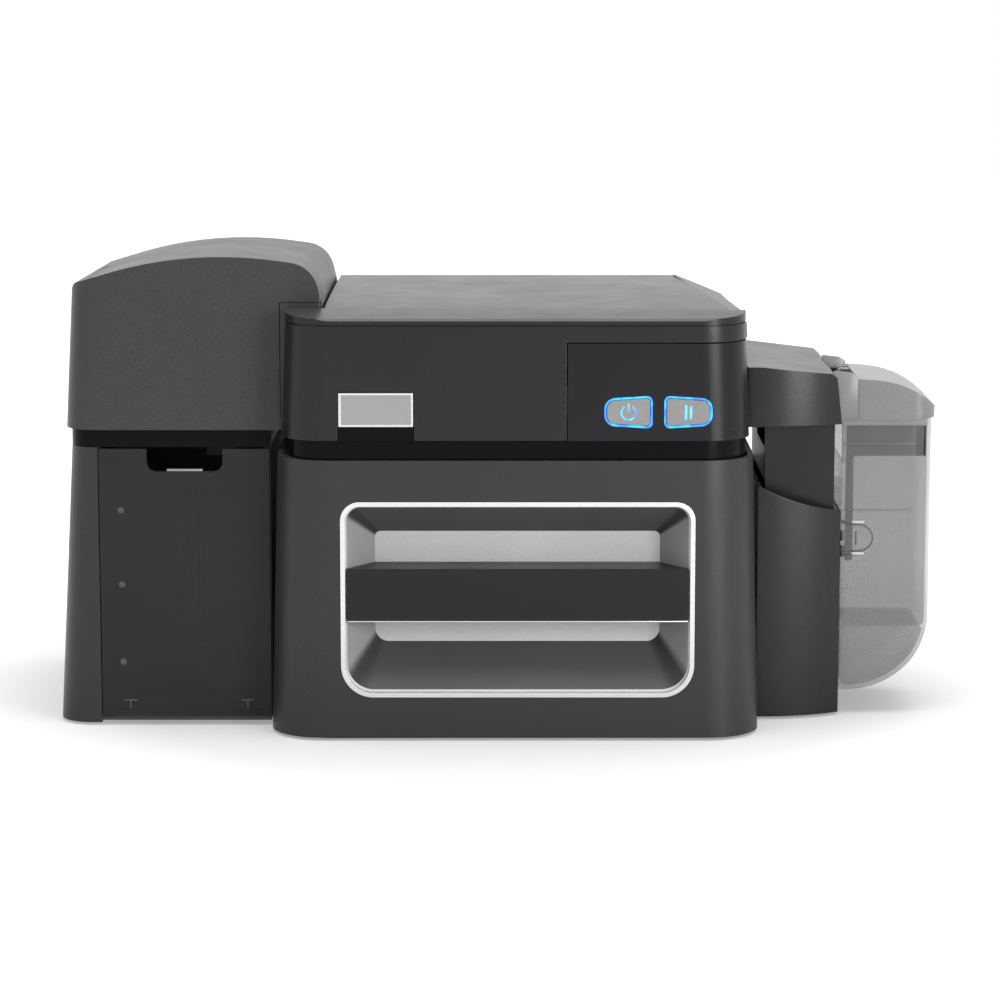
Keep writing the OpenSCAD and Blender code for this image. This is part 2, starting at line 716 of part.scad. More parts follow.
// Stepper motor, on a bracket from the rear plate
module drive_motor() {
    s = 17;
    y0 = gear_y + gear_t + 1;
    color("#3c3e42") difference() {
        block(idler_x[1] - s, idler_x[1] + s, y0, y0 + 34, pinion_z - s, pinion_z + s);
        bar_y(idler_x[1], y0 - 1, y0 + 4, pinion_z, 1.5 + shaft_clear);
    }
    color(STEEL) for (x = [idler_x[1] - s - 2, idler_x[1] + s])
        block(x, x + 2, plate_back_y + plate_t, y0 + 12, pinion_z - s, pinion_z - s + 10);
}

// Input tower
tower_waist_z = output_door_top_z + gap;
tower_corner_r = 18;
tower_floor_z = foot_h + 3;
lean_angle = atan(tower_lean);
output_door_x = [tower_left_x + 23.6, tower_right_x - seam];
output_door_t = 2.5;
output_axis_y = tower_front_y + 5;
output_axis_z = 10;
output_pin_r = 1.2;
output_sweep_r = 9.2;
output_pin_x = [output_door_x[0] + 14.4, output_door_x[1] - 15.2];
tray_t = 3;
tray_x = [tower_x0(tower_waist_z) + 4, tower_right_x - 1];
stack_x1 = tower_right_x - 7;
stack_x0 = stack_x1 - card_l - 0.6;
tray_y = [card_y - card_w / 2 - 2.5, card_y + card_w / 2 + 4];
pick_x = stack_x1 - 22;
pick_r = 9;
hopper_back_z = hood_top_z - 24;
weight_slot_x = (stack_x0 + stack_x1) / 2;

// Lower shell of the tower: left wall, right wall, back and floor, with the ears of the output door
module tower_casing() {
    r = [tower_corner_r, 0, 0, 10];
    ri = [tower_corner_r - wall, 0, 0, 7];
    x1 = tower_right_x;
    color(DARK) {
        difference() {
            loft([tower_x0(foot_h), x1, tower_front_y, tower_back_y], foot_h,
                [tower_x0(tower_waist_z), x1, tower_front_y, tower_back_y], tower_waist_z, r);
            loft([tower_x0(tower_floor_z) + wall, x1 - wall, tower_front_y + wall, tower_back_y - wall],
                tower_floor_z,
                [tower_x0(tower_waist_z) + wall, x1 - wall, tower_front_y + wall, tower_back_y - wall],
                tower_waist_z + 1, ri);
            block(output_door_x[0] - seam, x1 + 1, tower_front_y - 1, tower_front_y + output_door_t + gap,
                0, tower_waist_z + 1);
            block(output_door_x[0] - seam, x1 + 1, tower_front_y - 1, output_axis_y + output_sweep_r,
                0, output_axis_z);
        }
        for (x = output_pin_x)
            output_ear(x);
    }
}

// Arm from the floor to the output door's hinge
module output_ear(x) {
    post_y = output_axis_y + output_sweep_r;
    block(x, x + 4, post_y, post_y + 5, tower_floor_z - EPS, output_axis_z + 2);
    difference() {
        union() {
            block(x, x + 4, output_axis_y, post_y + EPS, output_axis_z - 2, output_axis_z + 2);
            bar_x(x, x + 4, output_axis_y, output_axis_z, 2.1);
        }
        bar_x(x - 1, x + 5, output_axis_y, output_axis_z, output_pin_r);
    }
}

module output_pins() {
    color(STEEL) for (x = output_pin_x)
        bar_x(x - 5, x + 4, output_axis_y, output_axis_z, output_pin_r);
}

// Smoked drop-down door of the card output, with its finger notch and hinge knuckles
module output_door() {
    notch_x = (output_door_x[0] + output_door_x[1]) / 2 + 0.3;
    y1 = tower_front_y + output_door_t;
    color(SMOKE) {
        front_plate(tower_front_y, y1) difference() {
            translate([output_door_x[0], foot_h + 1.2])
                square([output_door_x[1] - output_door_x[0], output_door_top_z - foot_h - 1.2]);
            translate([notch_x - 15, output_door_top_z - 12]) square([30, 20]);
            translate([notch_x - 20, output_door_top_z - 7]) square([40, 20]);
            for (x = [-15, 15])
                translate([notch_x + x, output_door_top_z - 7]) circle(r = 5, $fn = SIDE_ARC);
        }
        for (x = output_pin_x)
            difference() {
                union() {
                    block(x - 6, x - seam, y1 - EPS, output_axis_y, output_axis_z - 2.2, output_axis_z + 2.2);
                    bar_x(x - 6, x - seam, output_axis_y, output_axis_z, 2.4);
                }
                bar_x(x - 7, x + 1, output_axis_y, output_axis_z, output_pin_r + shaft_clear);
            }
        for (x = [-8, 0])
            block(notch_x + x + 6, notch_x + x + 7.5, y1 - EPS, y1 + 3, 36, 128);
    }
}

// Stepped ramp that the finished cards slide down
module output_ramp() {
    x0 = tower_x0(10) + wall + 2;
    x1 = tower_right_x - wall - seam;
    step_x = [x1 - 34, x1 - 9.5];
    line = [[x0, 13], [step_x[0], 29], [step_x[0], 21], [step_x[1], 21], [step_x[1], 36], [x1, 38.5]];
    t = 2.5;
    under = [line[5] - [0, t], line[4] + [t, -t], line[3] + [t, -t], line[2] - [t, t], line[1] - [t, t + 1],
        line[0] - [0, t]];
    y0 = output_axis_y + output_sweep_r + 6;
    color("#4a4b4e") {
        front_plate(y0, y0 + card_w + 14) polygon(concat(line, under));
        for (y = [y0, y0 + card_w + 11])
            block(x0 + 2, x1 - 2, y, y + 3, tower_floor_z, 12);
    }
}

// Gloss band on top of the tower casing, with the socket of the hopper door's hinge rod
module tower_band() {
    x0 = tower_x0(tower_waist_z);
    slot = card_w / 2 + 5;
    color(GLOSS) difference() {
        union() {
            difference() {
                block(x0, tower_right_x, tower_front_y + 2, tower_back_y - 1, tower_waist_z, hood_bottom_z,
                    [tower_corner_r - 2, 0, 0, 9]);
                block(x0 + wall, tower_right_x - wall, tower_front_y + 2 + wall, tower_back_y - 1 - wall,
                    tower_waist_z - 1, hood_bottom_z + 1, [tower_corner_r - 2 - wall, 0, 0, 6]);
            }
            block(x0 + 1, x0 + 10, hopper_hinge_y - 5, hopper_hinge_y + 5, tower_waist_z, hood_bottom_z);
        }
        block(tower_right_x - wall - 1, tower_right_x + 1, card_y - slot, card_y + slot, card_z - 3.3,
            hood_bottom_z + 1);
        hopper_axis() cylinder(r = hopper_pin_r, h = 40, center = true, $fn = SIDE_ARC);
    }
}

// Hood over the card hopper
hopper_pin_r = 1.8;
hood_drop = 5.3;
dome_x = -145.6;
dome_edge = hood_top_z - 13.7;
dome_r = (pow(hood_x0(dome_edge) + 5 - dome_x, 2) + pow(hood_top_z - dome_edge, 2)) / 2
    / (hood_top_z - dome_edge);
shoulder_r = 16.8;
hood_foot_z = hood_top_z - 25.2;
hood_split_x = tower_right_x + 5.8;
hood_lip = 6;

// Places what is drawn on the leaning axis of the hopper door, with z = 0 on the band
module hopper_axis() {
    translate([hopper_axis_x - 0.3, hopper_hinge_y, hood_bottom_z]) rotate([0, lean_angle, 0]) children();
}

// What the hood's outline in X and Z goes round: a low dome, a round shoulder on the right, a leaning left wall
module hood_profile(drop, inset) {
    top = hood_top_z - drop;
    polygon([
        [hood_x0(hood_bottom_z) + inset - 1, hood_bottom_z - 3],
        [hood_foot_x - inset, hood_bottom_z - 3],
        [hood_foot_x - inset, hood_foot_z - drop],
        [hood_x0(hood_foot_z) + inset - 1, hood_foot_z]
    ]);
    for (x = [hood_x0(dome_edge) + 8 : 8 : dome_x + 36])
        translate([x, top - dome_r + sqrt(pow(dome_r - inset, 2) - pow(x - dome_x, 2)) - 1]) square([0.1, 1]);
    translate([hood_foot_x - shoulder_r - 1.8, top - shoulder_r - 2.9])
        circle(r = shoulder_r - inset, $fn = ARC);
    translate([hood_x0(dome_edge) + 5, top - 18.4]) circle(r = 5 - inset, $fn = SIDE_ARC);
}

// The hood as a solid, drawn in by inset on every side but the bottom
module hood_form(inset) {
    y0 = tower_front_y + inset;
    y1 = tower_back_y - inset;
    bottom = inset > 0 ? hood_bottom_z - 2 : hood_bottom_z;
    top = hood_top_z + 3;
    right_r = inset > 0 ? 0 : 2;
    intersection() {
        hull() {
            front_plate(y0 - 1, y0 - 1 + EPS) hood_profile(0, inset);
            front_plate(y1 + 1 - EPS, y1 + 1) hood_profile(hood_drop, inset);
        }
        loft([hood_x0(bottom) + inset, hood_foot_x - inset, y0, y1], bottom,
            [hood_x0(top) + inset, hood_foot_x - inset, y0, y1], top,
            [tower_corner_r - inset, right_r, right_r, 8 - inset]);
    }
}

// The part of the hood that opens with the door, drawn in by s
module hopper_zone(s) {
    y0 = tower_front_y - 9;
    lip_y = tower_front_y + hood_lip - s;
    block(hood_left_x - 20, hood_split_x - s, y0, lip_y, hood_bottom_z - 9, hood_top_z + 9);
    block(hood_left_x - 20, 0, y0, lip_y, hood_foot_z + 1 + s, hood_top_z + 9);
    block(hood_left_x - 20, hood_left_x + 14 - s, y0, hopper_hinge_y, hood_bottom_z - 9, hood_top_z + 9);
}

module tower_hood() {
    color(LID_DARK) difference() {
        hood_form(0);
        hood_form(hood_wall);
        hopper_zone(0);
        block(hood_left_x - 20, hood_left_x + 14, tower_front_y - 9, hopper_hinge_y + hopper_barrel_r + gap + 0.3,
            hood_bottom_z - 9, hood_top_z + 9);
    }
}

// Hinge rod of the hopper door
module hopper_door_rod() {
    color(STEEL) hopper_axis() translate([0, 0, -6]) cylinder(r = hopper_pin_r, h = 62, $fn = SIDE_ARC);
}

// Front and left side of the hood, swinging on a rod at its rear edge
module hopper_door() {
    color(LID_DARK) difference() {
        union() {
            intersection() {
                difference() {
                    hood_form(0);
                    hood_form(hood_wall);
                }
                difference() {
                    hopper_zone(seam);
                    block(hood_left_x - 20, 0, tower_front_y - 9, hopper_hinge_y + 9, 0, hood_bottom_z + seam);
                }
            }
            hopper_axis() translate([0, 0, seam + 0.2]) cylinder(r = hopper_barrel_r, h = 62, $fn = ARC);
        }
        hopper_axis() translate([0, 0, -1]) cylinder(r = hopper_pin_r + shaft_clear, h = 58.6, $fn = SIDE_ARC);
    }
}

// Floor, gate, stops and back wall of the card hopper
module hopper_tray() {
    z0 = card_z - 0.3 - tray_t;
    z1 = card_z - 0.3;
    gate_y = [card_y - card_w / 2, card_y + card_w / 2];
    color("#55565a") {
        difference() {
            block(tray_x[0], tray_x[1], tray_y[0], tray_y[1], z0, z1);
            block(pick_x - pick_r - gap, pick_x + pick_r + gap, card_y - 16, card_y + 16, z0 - 1, z1 + 1);
        }
        difference() {
            block(stack_x0 - 3, stack_x1 + 3, gate_y[1] + 0.6, tray_y[1], z1 - EPS, hopper_back_z);
            block(weight_slot_x - 3, weight_slot_x + 3, gate_y[1], tray_y[1] + 1, z1 + 0.6, hopper_back_z - 8);
        }
        block(stack_x1 + 0.4, stack_x1 + 3, gate_y[0], gate_y[1] + 1, z1 + 1.4, hopper_back_z - 20);
        block(stack_x0 - 3, stack_x0 - 0.4, gate_y[0], gate_y[1] + 1, z1 - EPS, hopper_back_z - 20);
        difference() {
            for (y = [card_y - 20, card_y + 17.5])
                block(pick_x - 8, pick_x + 8, y, y + 2.5, z0 - 14, z0 + EPS);
            bar_y(pick_x, card_y - 30, card_y + 30, card_z - pick_r, bore_r);
        }
    }
}

module pick_roller() {
    color("#2a2a2c") bar_y(pick_x, card_y - 15, card_y + 15, card_z - pick_r, pick_r);
    color(STEEL) bar_y(pick_x, card_y - 21, card_y + 21, card_z - pick_r, shaft_r);
}

// Weight that presses the cards down, with its finger tab behind the hopper's back wall
module card_weight() {
    z0 = card_z + 0.4;
    back = card_y + card_w / 2;
    color("#77787c") {
        block(stack_x0 + 9, stack_x1 - 9, card_y - card_w / 2 + 3, back - 3, z0, z0 + 6, [4, 4, 4, 4]);
        block(weight_slot_x - 2.5, weight_slot_x + 2.5, back - 4, tray_y[1] + 1, z0 + 0.6, z0 + 5);
        block(weight_slot_x - 7, weight_slot_x + 7, tray_y[1] + gap, tray_y[1] + 3, z0 + 0.6, z0 + 14, [1, 1, 1, 1]);
    }
}

// Front door
recess_x = body_x + 1.2;
recess_floor_z = 49;
bezel_r = [17, 17, 10, 10];
floor_r = [7, 7, 3, 3];
pan_t = 2;
pan_y = front_y + wall;
door_lug_x = recess_w / 2 + pan_t + 2.5;
door_lug_w = 4;
door_pin_r = 2;

// A flat shape drawn through in Y and Z, from x0 to x1
module side_plate(x0, x1) {
    translate([x0, 0, 0]) rotate([90, 0, 90]) linear_extrude(x1 - x0) children();
}

// Outline of the recess at its mouth, grown by g
module recess_mouth(g) {
    r = [for (q = bezel_r) q - bezel_w + g];
    plan(recess_x - recess_w / 2 - g, recess_x + recess_w / 2 + g, recess_z - g, recess_z + recess_h + g, r);
}

// The recess as a solid that narrows from its mouth to its floor, grown by g
module recess_form(g, y0) {
    floor_y = front_y + recess_depth + g;
    r = [for (q = floor_r) q + g];
    hull() {
        front_plate(y0, y0 + EPS) recess_mouth(g);
        front_plate(floor_y - EPS, floor_y)
            plan(recess_x - recess_floor_w / 2 - g, recess_x + recess_floor_w / 2 + g, recess_floor_z - g,
                recess_floor_z + recess_floor_h + g, r);
    }
}

// Drop-down door: the whole front and both front corners of the lower body
module front_door() {
    color(DARK) {
        difference() {
            intersection() {
                body_form(0, foot_h, door_top_z);
                door_zone(door_sweep_r, door_back_y);
            }
            body_form(wall, foot_h - 1, door_top_z + 1);
            front_plate(front_y - 1, front_y + wall + 1) recess_mouth(bezel_w);
        }
        for (s = [-1, 1])
            translate([body_x, 0, 0]) difference() {
                union() {
                    block(s * door_lug_x - door_lug_w / 2, s * door_lug_x + door_lug_w / 2, pan_y - EPS,
                        door_axis_y, door_axis_z - 4, door_axis_z + 4);
                    bar_x(s * door_lug_x - door_lug_w / 2, s * door_lug_x + door_lug_w / 2,
                        door_axis_y, door_axis_z, 4);
                }
                bar_x(s * door_lug_x - 9, s * door_lug_x + 9, door_axis_y, door_axis_z, door_pin_r + shaft_clear);
            }
    }
}

// Arms of the base that carry the front door, one beside each lug
module door_arms() {
    x = door_lug_x + door_lug_w / 2 + seam;
    back = casing_front_y + gap;
    for (s = [-1, 1])
        translate([body_x, 0, 0]) mirror([s < 0 ? 1 : 0, 0, 0]) difference() {
            union() {
                block(x, x + 5, back, back + 12, frame_foot_z - EPS, door_axis_z + 2.5);
                block(x, x + 5, door_axis_y, back + EPS, door_axis_z - 2.5, door_axis_z + 2.5);
                bar_x(x, x + 5, door_axis_y, door_axis_z, 3.5);
            }
            bar_x(x - 1, x + 6, door_axis_y, door_axis_z, door_pin_r);
        }
}

module door_pins() {
    x = door_lug_x - door_lug_w / 2;
    color(STEEL) for (s = [-1, 1])
        translate([body_x, 0, 0]) mirror([s < 0 ? 1 : 0, 0, 0])
            bar_x(x, x + door_lug_w + seam + 5, door_axis_y, door_axis_z, door_pin_r);
}

// Moulded pan of the handle recess, with its four sloped walls
module recess_pan() {
    color(SILVER) difference() {
        recess_form(pan_t, pan_y);
        recess_form(0, pan_y - 1);
    }
}

// Bright trim around the recess
module recess_bezel() {
    color(BRIGHT) front_plate(front_y - proud, pan_y) difference() {
        recess_mouth(bezel_w);
        recess_mouth(0);
    }
}

// Handle bar across the recess, tapered to the slope of the pan's side walls
module handle_bar() {
    clear = 0.6;
    half0 = recess_w / 2 - clear;
    half1 = recess_floor_w / 2 - clear;
    floor_y = front_y + recess_depth;
    color(GLOSS) translate([recess_x, 0, bar_z]) linear_extrude(bar_h) polygon([
        [-half0, front_y], [half0, front_y], [half0, pan_y - 1], [half1, floor_y],
        [-half1, floor_y], [-half0, pan_y - 1]
    ]);
}

// Lid
proud = 0.5;
lid_corner_r = corner_r - 5;
skirt_top_z = lid_seam_z - lid_groove;
facet_y = front_y + 27;
facet_in = [lid_x1(lid_top_z) - 8, lid_x1(lid_top_z) - 30];
facet_drop = [2.4, 14];
panel_back_y = front_y + 31;
button_in = 33.1;
button_x = [body_x + lid_w / 2 - button_in - button_pitch, body_x + lid_w / 2 - button_in];
ring_w = 1;
button_flange_y = front_y + wall + gap;
badge_x = [body_x - 91.6, body_x - 53];
badge_z = [lid_z + 7.4, lid_z + 25.1];

// Front part of the lid, over the full width
module lid_front(inset, z0, z1, y1) {
    r = [lid_corner_r - inset, lid_corner_r - inset, 0, 0];
    loft([lid_x0(z0) + inset, lid_x1(z0) - inset, front_y + inset, y1], z0,
        [lid_x0(z1) + inset, lid_x1(z1) - inset, front_y + inset, y1], z1, r);
}

// Rear part of the lid, beside the hood
module lid_rear(inset, z0, z1, y1) {
    y0 = front_y + lid_corner_r - 1;
    loft([lid_left_x + inset, lid_x1(z0) - inset, y0, y1], z0,
        [lid_left_x + inset, lid_x1(z1) - inset, y0, y1], z1, [0, 0, 0, 0]);
}

// The slanted facet along the lid's right edge, as a slab from low to high above its surface
module lid_facet(low, high) {
    x1 = lid_x1(lid_z) + 1;
    hull() for (i = [0, 1]) {
        y = i ? lid_axis_y + lid_barrel_r + 1 : facet_y;
        z = lid_top_z + lid_crown - 1;
        front_plate(y - EPS, y) polygon([
            [facet_in[i], z + low], [x1, z - facet_drop[i] + low],
            [x1, z - facet_drop[i] + high], [facet_in[i], z + high]
        ]);
    }
}

// Side walls and front of the lid
module lid_skirt() {
    color(LID_DARK) difference() {
        union() {
            lid_front(0, lid_z, skirt_top_z, lid_step_y);
            lid_rear(0, lid_z, skirt_top_z, lid_back_y);
        }
        lid_front(wall, lid_z - 1, skirt_top_z + 1, lid_step_y - wall);
        lid_rear(wall, lid_z - 1, skirt_top_z + 1, lid_back_y + 1);
        lid_facet(-lid_plate - seam, 40);
        block(panel_left_x, body_x + lid_w, front_y - 1, panel_back_y, lid_z - 1, panel_top_z);
        block(badge_x[0] - seam, badge_x[1] + seam, front_y - 1, front_y + 1.2, lid_z - 1, badge_z[1] + seam);
    }
}

// Height of the lid's top surface along its depth
function lid_surface(y) = let (top_y = front_y + 57, front = top_y - front_y - 1.2, back = lid_axis_y - top_y)
    y < top_y ? lid_top_z + lid_crown * (1 - pow((y - top_y) / front, 2))
    : lid_top_z + lid_crown - (lid_crown - 0.5) * pow((y - top_y) / back, 2);

// Top plate of the lid with its crown, its facet and the hinge barrel at the back
module lid_top() {
    z0 = lid_seam_z;
    x1 = lid_x1(lid_seam_z);
    y_front = front_y + 1.2;
    depth = lid_axis_y - y_front;
    steps = 14;
    color(LID_DARK) difference() {
        union() {
            intersection() {
                union() {
                    block(lid_x0(z0), x1, front_y, lid_step_y, z0, z0 + 20, [lid_corner_r, lid_corner_r, 0, 0]);
                    block(lid_left_x, x1, lid_step_y - 1, lid_axis_y, z0, z0 + 20);
                }
                side_plate(lid_x0(z0) - 1, x1 + 1) polygon(concat(
                    [[front_y, z0], [front_y, lid_top_z - 1.2]],
                    [for (i = [0 : steps]) [y_front + depth * i / steps, lid_surface(y_front + depth * i / steps)]],
                    [[lid_axis_y, z0]]
                ));
            }
            difference() {
                block(lid_x0(z0) + 1.2, x1 - 1.2, front_y + 1.2, lid_step_y - 1.2, skirt_top_z, z0 + EPS,
                    [lid_corner_r - 1.2, lid_corner_r - 1.2, 0, 0]);
                block(lid_x0(z0) + wall, x1 - wall, front_y + wall, lid_step_y, skirt_top_z - 1, z0,
                    [lid_corner_r - wall, lid_corner_r - wall, 0, 0]);
            }
            intersection() {
                lid_facet(-lid_plate, 0);
                block(lid_left_x, x1, front_y, lid_back_y, 0, 300);
            }
            bar_x(lid_left_x + 0.6, x1, lid_axis_y, lid_axis_z, lid_barrel_r);
        }
        lid_facet(0, 40);
        for (x = lid_ear_x) {
            block(x - seam, x + lid_ear_w + seam, lid_axis_y - 6, back_y + 1, 0, lid_axis_z + 6);
            bar_x(x - 10, x + lid_ear_w + 10, lid_axis_y, lid_axis_z, lid_pin_r + shaft_clear);
        }
    }
}

// Outline of a button in X and Z: tall on the side that faces its twin, low and round on the other
module button_face(i, g) {
    s = i ? -1 : 1;
    hull() for (q = [-1, 1]) {
        translate([button_x[i] + s * (button_w / 2 - 1.5), button_z + q * (button_h / 2 - 1.5)])
            circle(r = 1.5 + g, $fn = SIDE_ARC);
        translate([button_x[i] - s * (button_w / 2 - 4.5), button_z + q * (button_h / 2 - 5.5)])
            circle(r = 4.5 + g, $fn = SIDE_ARC);
    }
}

// Gloss panel around the right front corner of the lid
module control_panel() {
    color(GLOSS) difference() {
        intersection() {
            difference() {
                lid_front(0, lid_z, skirt_top_z, lid_step_y);
                lid_front(wall, lid_z - 1, skirt_top_z + 1, lid_step_y + 1);
            }
            block(panel_left_x + seam, body_x + lid_w, front_y - 1, panel_back_y - seam, lid_z, panel_top_z - seam);
        }
        front_plate(front_y - 1, front_y + wall + 1) {
            button_face(0, ring_w + seam);
            button_face(1, ring_w + seam);
        }
    }
}

// Light rings in the panel, around the buttons
module button_rings() {
    color(GLOW) for (i = [0, 1])
        front_plate(front_y - 0.2, front_y + wall) difference() {
            button_face(i, ring_w + seam);
            button_face(i, seam);
        }
}

// A button cap with the flange that keeps it in its ring
module button(i) {
    color(SILVER) {
        front_plate(front_y - proud, button_flange_y) button_face(i, 0);
        front_plate(button_flange_y, button_flange_y + 1.2) button_face(i, 0.8);
    }
}

module power_button() {
    button(0);
}

module pause_button() {
    button(1);
}

// Circuit board behind the buttons, on four posts
module button_board() {
    y = button_flange_y + 1.2 + button_travel + seam;
    x0 = button_x[0] - button_w / 2 - 4;
    x1 = button_x[1] + button_w / 2 - 4;
    z0 = button_z - button_h / 2 - 7;
    z1 = button_z + button_h / 2 + 7;
    color("#1f5a35") block(x0, x1, y + 2, y + 3.6, z0, z1);
    color("#202022") for (x = button_x)
        block(x - 3, x + 3, y, y + 2, button_z - 3, button_z + 3);
    color("#55565a") for (x = [x0 + 3, button_x[1]], z = [z0 + 3, z1 - 3])
        bar_y(x, front_y + wall, y + 2, z, 2);
}

// Plain silver-framed plate, left bare, over its insert
module badge_plate() {
    color(BRIGHT) difference() {
        block(badge_x[0], badge_x[1], front_y - 0.3, front_y + 1.2, badge_z[0], badge_z[1]);
        block(badge_x[0] + 1.2, badge_x[1] - 1.2, front_y - 1, front_y + 0.2, badge_z[0] + 1.2, badge_z[1] - 1.2);
    }
    color(GLOSS)
        block(badge_x[0], badge_x[1], front_y + 0.3, front_y + 1.2, lid_z, badge_z[0] - EPS);
}

// Output module
module_x0 = body_x + body_w / 2 + seam;
module_top_x0 = lid_x1(lid_z) + gap + 0.4;
module_y = [card_y - card_w / 2 - 22, card_y + card_w / 2 + 50];
module_front_r = 87;
module_lean = 4;
swoop_r = 143.7;
swoop_x = 205.6;
swoop_z = 254.5;
chute_in = 5;
bin_x0 = module_right_x + seam + 0.3;
bin_y = [card_y - card_w / 2 - 7, card_y + card_w / 2 + 6];
bin_wall_x = bin_right_x - 1.5;
bin_round_r = 44.6;
bin_round_z = 58;
bin_shelf_z = 48;
dock_z = 88;
dock_r = 3;
dock_y = [bin_y[0] + 9, bin_y[1] - 9];
bin_lid_z = bin_top_z + 0.6;
bin_axis_x = module_right_x + 4.6;
bin_axis_z = module_split_z + 21;
bin_pin_r = 1.3;

// Plan of the module: straight sides and back, a slowly curving front
module module_plan(x0, x1, inset) {
    intersection() {
        translate([x0, module_y[0]]) square([x1 - x0, module_y[1] - inset - module_y[0]]);
        translate([module_x0 + 2, module_y[0] + module_front_r]) circle(r = module_front_r - inset, $fn = 128);
    }
}

// Lower shell of the module, with the swooping upper edge and the two dock pins of the bin
module module_lower_cover() {
    color(DARK) {
        difference() {
            translate([0, 0, foot_h]) linear_extrude(module_split_z - foot_h)
                module_plan(module_x0, module_right_x, 0);
            translate([0, 0, foot_h + wall]) linear_extrude(module_split_z)
                module_plan(module_x0 + wall, module_right_x - wall, wall);
            bar_swoop();
        }
        for (y = dock_y)
            bar_x(module_right_x - wall, bin_x0 + clear_wall + 5, y, dock_z, dock_r);
    }
}

module bar_swoop() {
    translate([swoop_x, module_y[1] + 9, swoop_z]) rotate([90, 0, 0])
        cylinder(r = swoop_r, h = module_y[1] - module_y[0] + 18, $fn = 160);
}

// Outline of the upper cover in X and Z, with its falling top
module module_cap(inset) {
    polygon([
        [module_top_x0 + inset, module_split_z - (inset > 0 ? 1 : 0)],
        [module_right_x - inset, module_split_z - (inset > 0 ? 1 : 0)],
        [module_right_x - module_lean + 1 - inset, module_top_z - 7 - inset],
        [module_right_x - module_lean - 2 - inset, module_top_z - 4.5 - inset],
        [module_top_x0 + 8, module_top_z - inset],
        [module_top_x0 + inset, module_top_z - inset]
    ]);
}

module module_upper_cover() {
    color("#454547") difference() {
        intersection() {
            front_plate(module_y[0] - 1, module_y[1] + 1) module_cap(0);
            linear_extrude(300) module_plan(module_top_x0, module_right_x, 0);
        }
        intersection() {
            front_plate(module_y[0] - 1, module_y[1] + 1) module_cap(wall);
            linear_extrude(300) module_plan(module_top_x0, module_right_x, wall);
        }
        block(module_right_x - 9, module_right_x + 1, card_y - card_w / 2 - 1, card_y + card_w / 2 + 1,
            module_split_z - 1, module_split_z + 6);
    }
    color("#454547") for (y = [bin_y[0] + 6, bin_y[1] - 10])
        difference() {
            union() {
                block(module_right_x - 4.5, bin_axis_x, y, y + 4, bin_axis_z - 2, bin_axis_z + 2);
                bar_y(bin_axis_x, y, y + 4, bin_axis_z, 2.4);
            }
            bar_y(bin_axis_x, y - 1, y + 5, bin_axis_z, bin_pin_r);
        }
}

// Dark inner housing of the module, whose slots pass the cards on to the bin
module module_chute() {
    z0 = swoop_z - swoop_r - 6;
    cut_y = [card_y - card_w / 2 - 2, card_y + card_w / 2 + 2];
    color(GLOSS) difference() {
        block(module_x0 + chute_in, module_right_x - wall - seam, module_y[0] + 16, module_y[1] - 9, z0,
            module_split_z);
        block(module_x0 + chute_in + 2, module_right_x - wall - seam - 2, module_y[0] + 18, module_y[1] - 11,
            z0 + 2, module_split_z + 1);
        block(module_x0, module_right_x, cut_y[0], cut_y[1], card_z - 12, module_split_z + 1);
    }
    color("#55565a") block(module_x0 + chute_in + 2, module_right_x - wall - seam - 2, cut_y[0], cut_y[1],
        card_z - 15, card_z - 12.5);
}

// Side view of the bin: upright right wall that rounds into the floor
module bin_profile(inset, top) {
    intersection() {
        union() {
            translate([bin_x0, bin_round_z]) square([bin_wall_x - bin_x0 - inset, top - bin_round_z]);
            translate([bin_wall_x - bin_round_r, bin_round_z]) circle(r = bin_round_r - inset, $fn = 96);
        }
        translate([bin_x0 + inset, 0]) square([100, top]);
    }
}

// Smoked output bin with its card shelf
module output_bin() {
    r = 12;
    color(SMOKE) difference() {
        intersection() {
            front_plate(bin_y[0], bin_y[1]) bin_profile(0, bin_top_z);
            block(bin_x0, bin_wall_x, bin_y[0], bin_y[1], 0, 300, [0, r, r, 0]);
        }
        difference() {
            intersection() {
                front_plate(bin_y[0] + clear_wall, bin_y[1] - clear_wall) bin_profile(clear_wall, bin_top_z + 1);
                block(bin_x0, bin_wall_x - clear_wall, bin_y[0] + clear_wall, bin_y[1] - clear_wall, 0, 300,
                    [0, r - clear_wall, r - clear_wall, 0]);
            }
            block(bin_x0, bin_wall_x, bin_y[0], bin_y[1], bin_shelf_z - clear_wall, bin_shelf_z);
        }
        block(bin_x0 - 1, bin_x0 + clear_wall + 1, card_y - card_w / 2 - 2, card_y + card_w / 2 + 2,
            card_z - 20, bin_top_z + 1);
        for (y = dock_y)
            bar_x(bin_x0 - 1, bin_x0 + clear_wall + 1, y, dock_z, dock_r + 0.3);
    }
}

// Curved top of the bin's lid in X and Z
function bin_lid_curve(d) = let (
    xa = bin_axis_x + 4, za = bin_axis_z + 3, xb = bin_right_x - d, zb = bin_lid_z + 6,
    sag = 5
) [for (i = [0 : 8]) let (t = i / 8) [xa + (xb - xa) * t, za + (zb - za) * t + sag * 4 * t * (1 - t) * (0.7 + 0.6 * t) - d]];

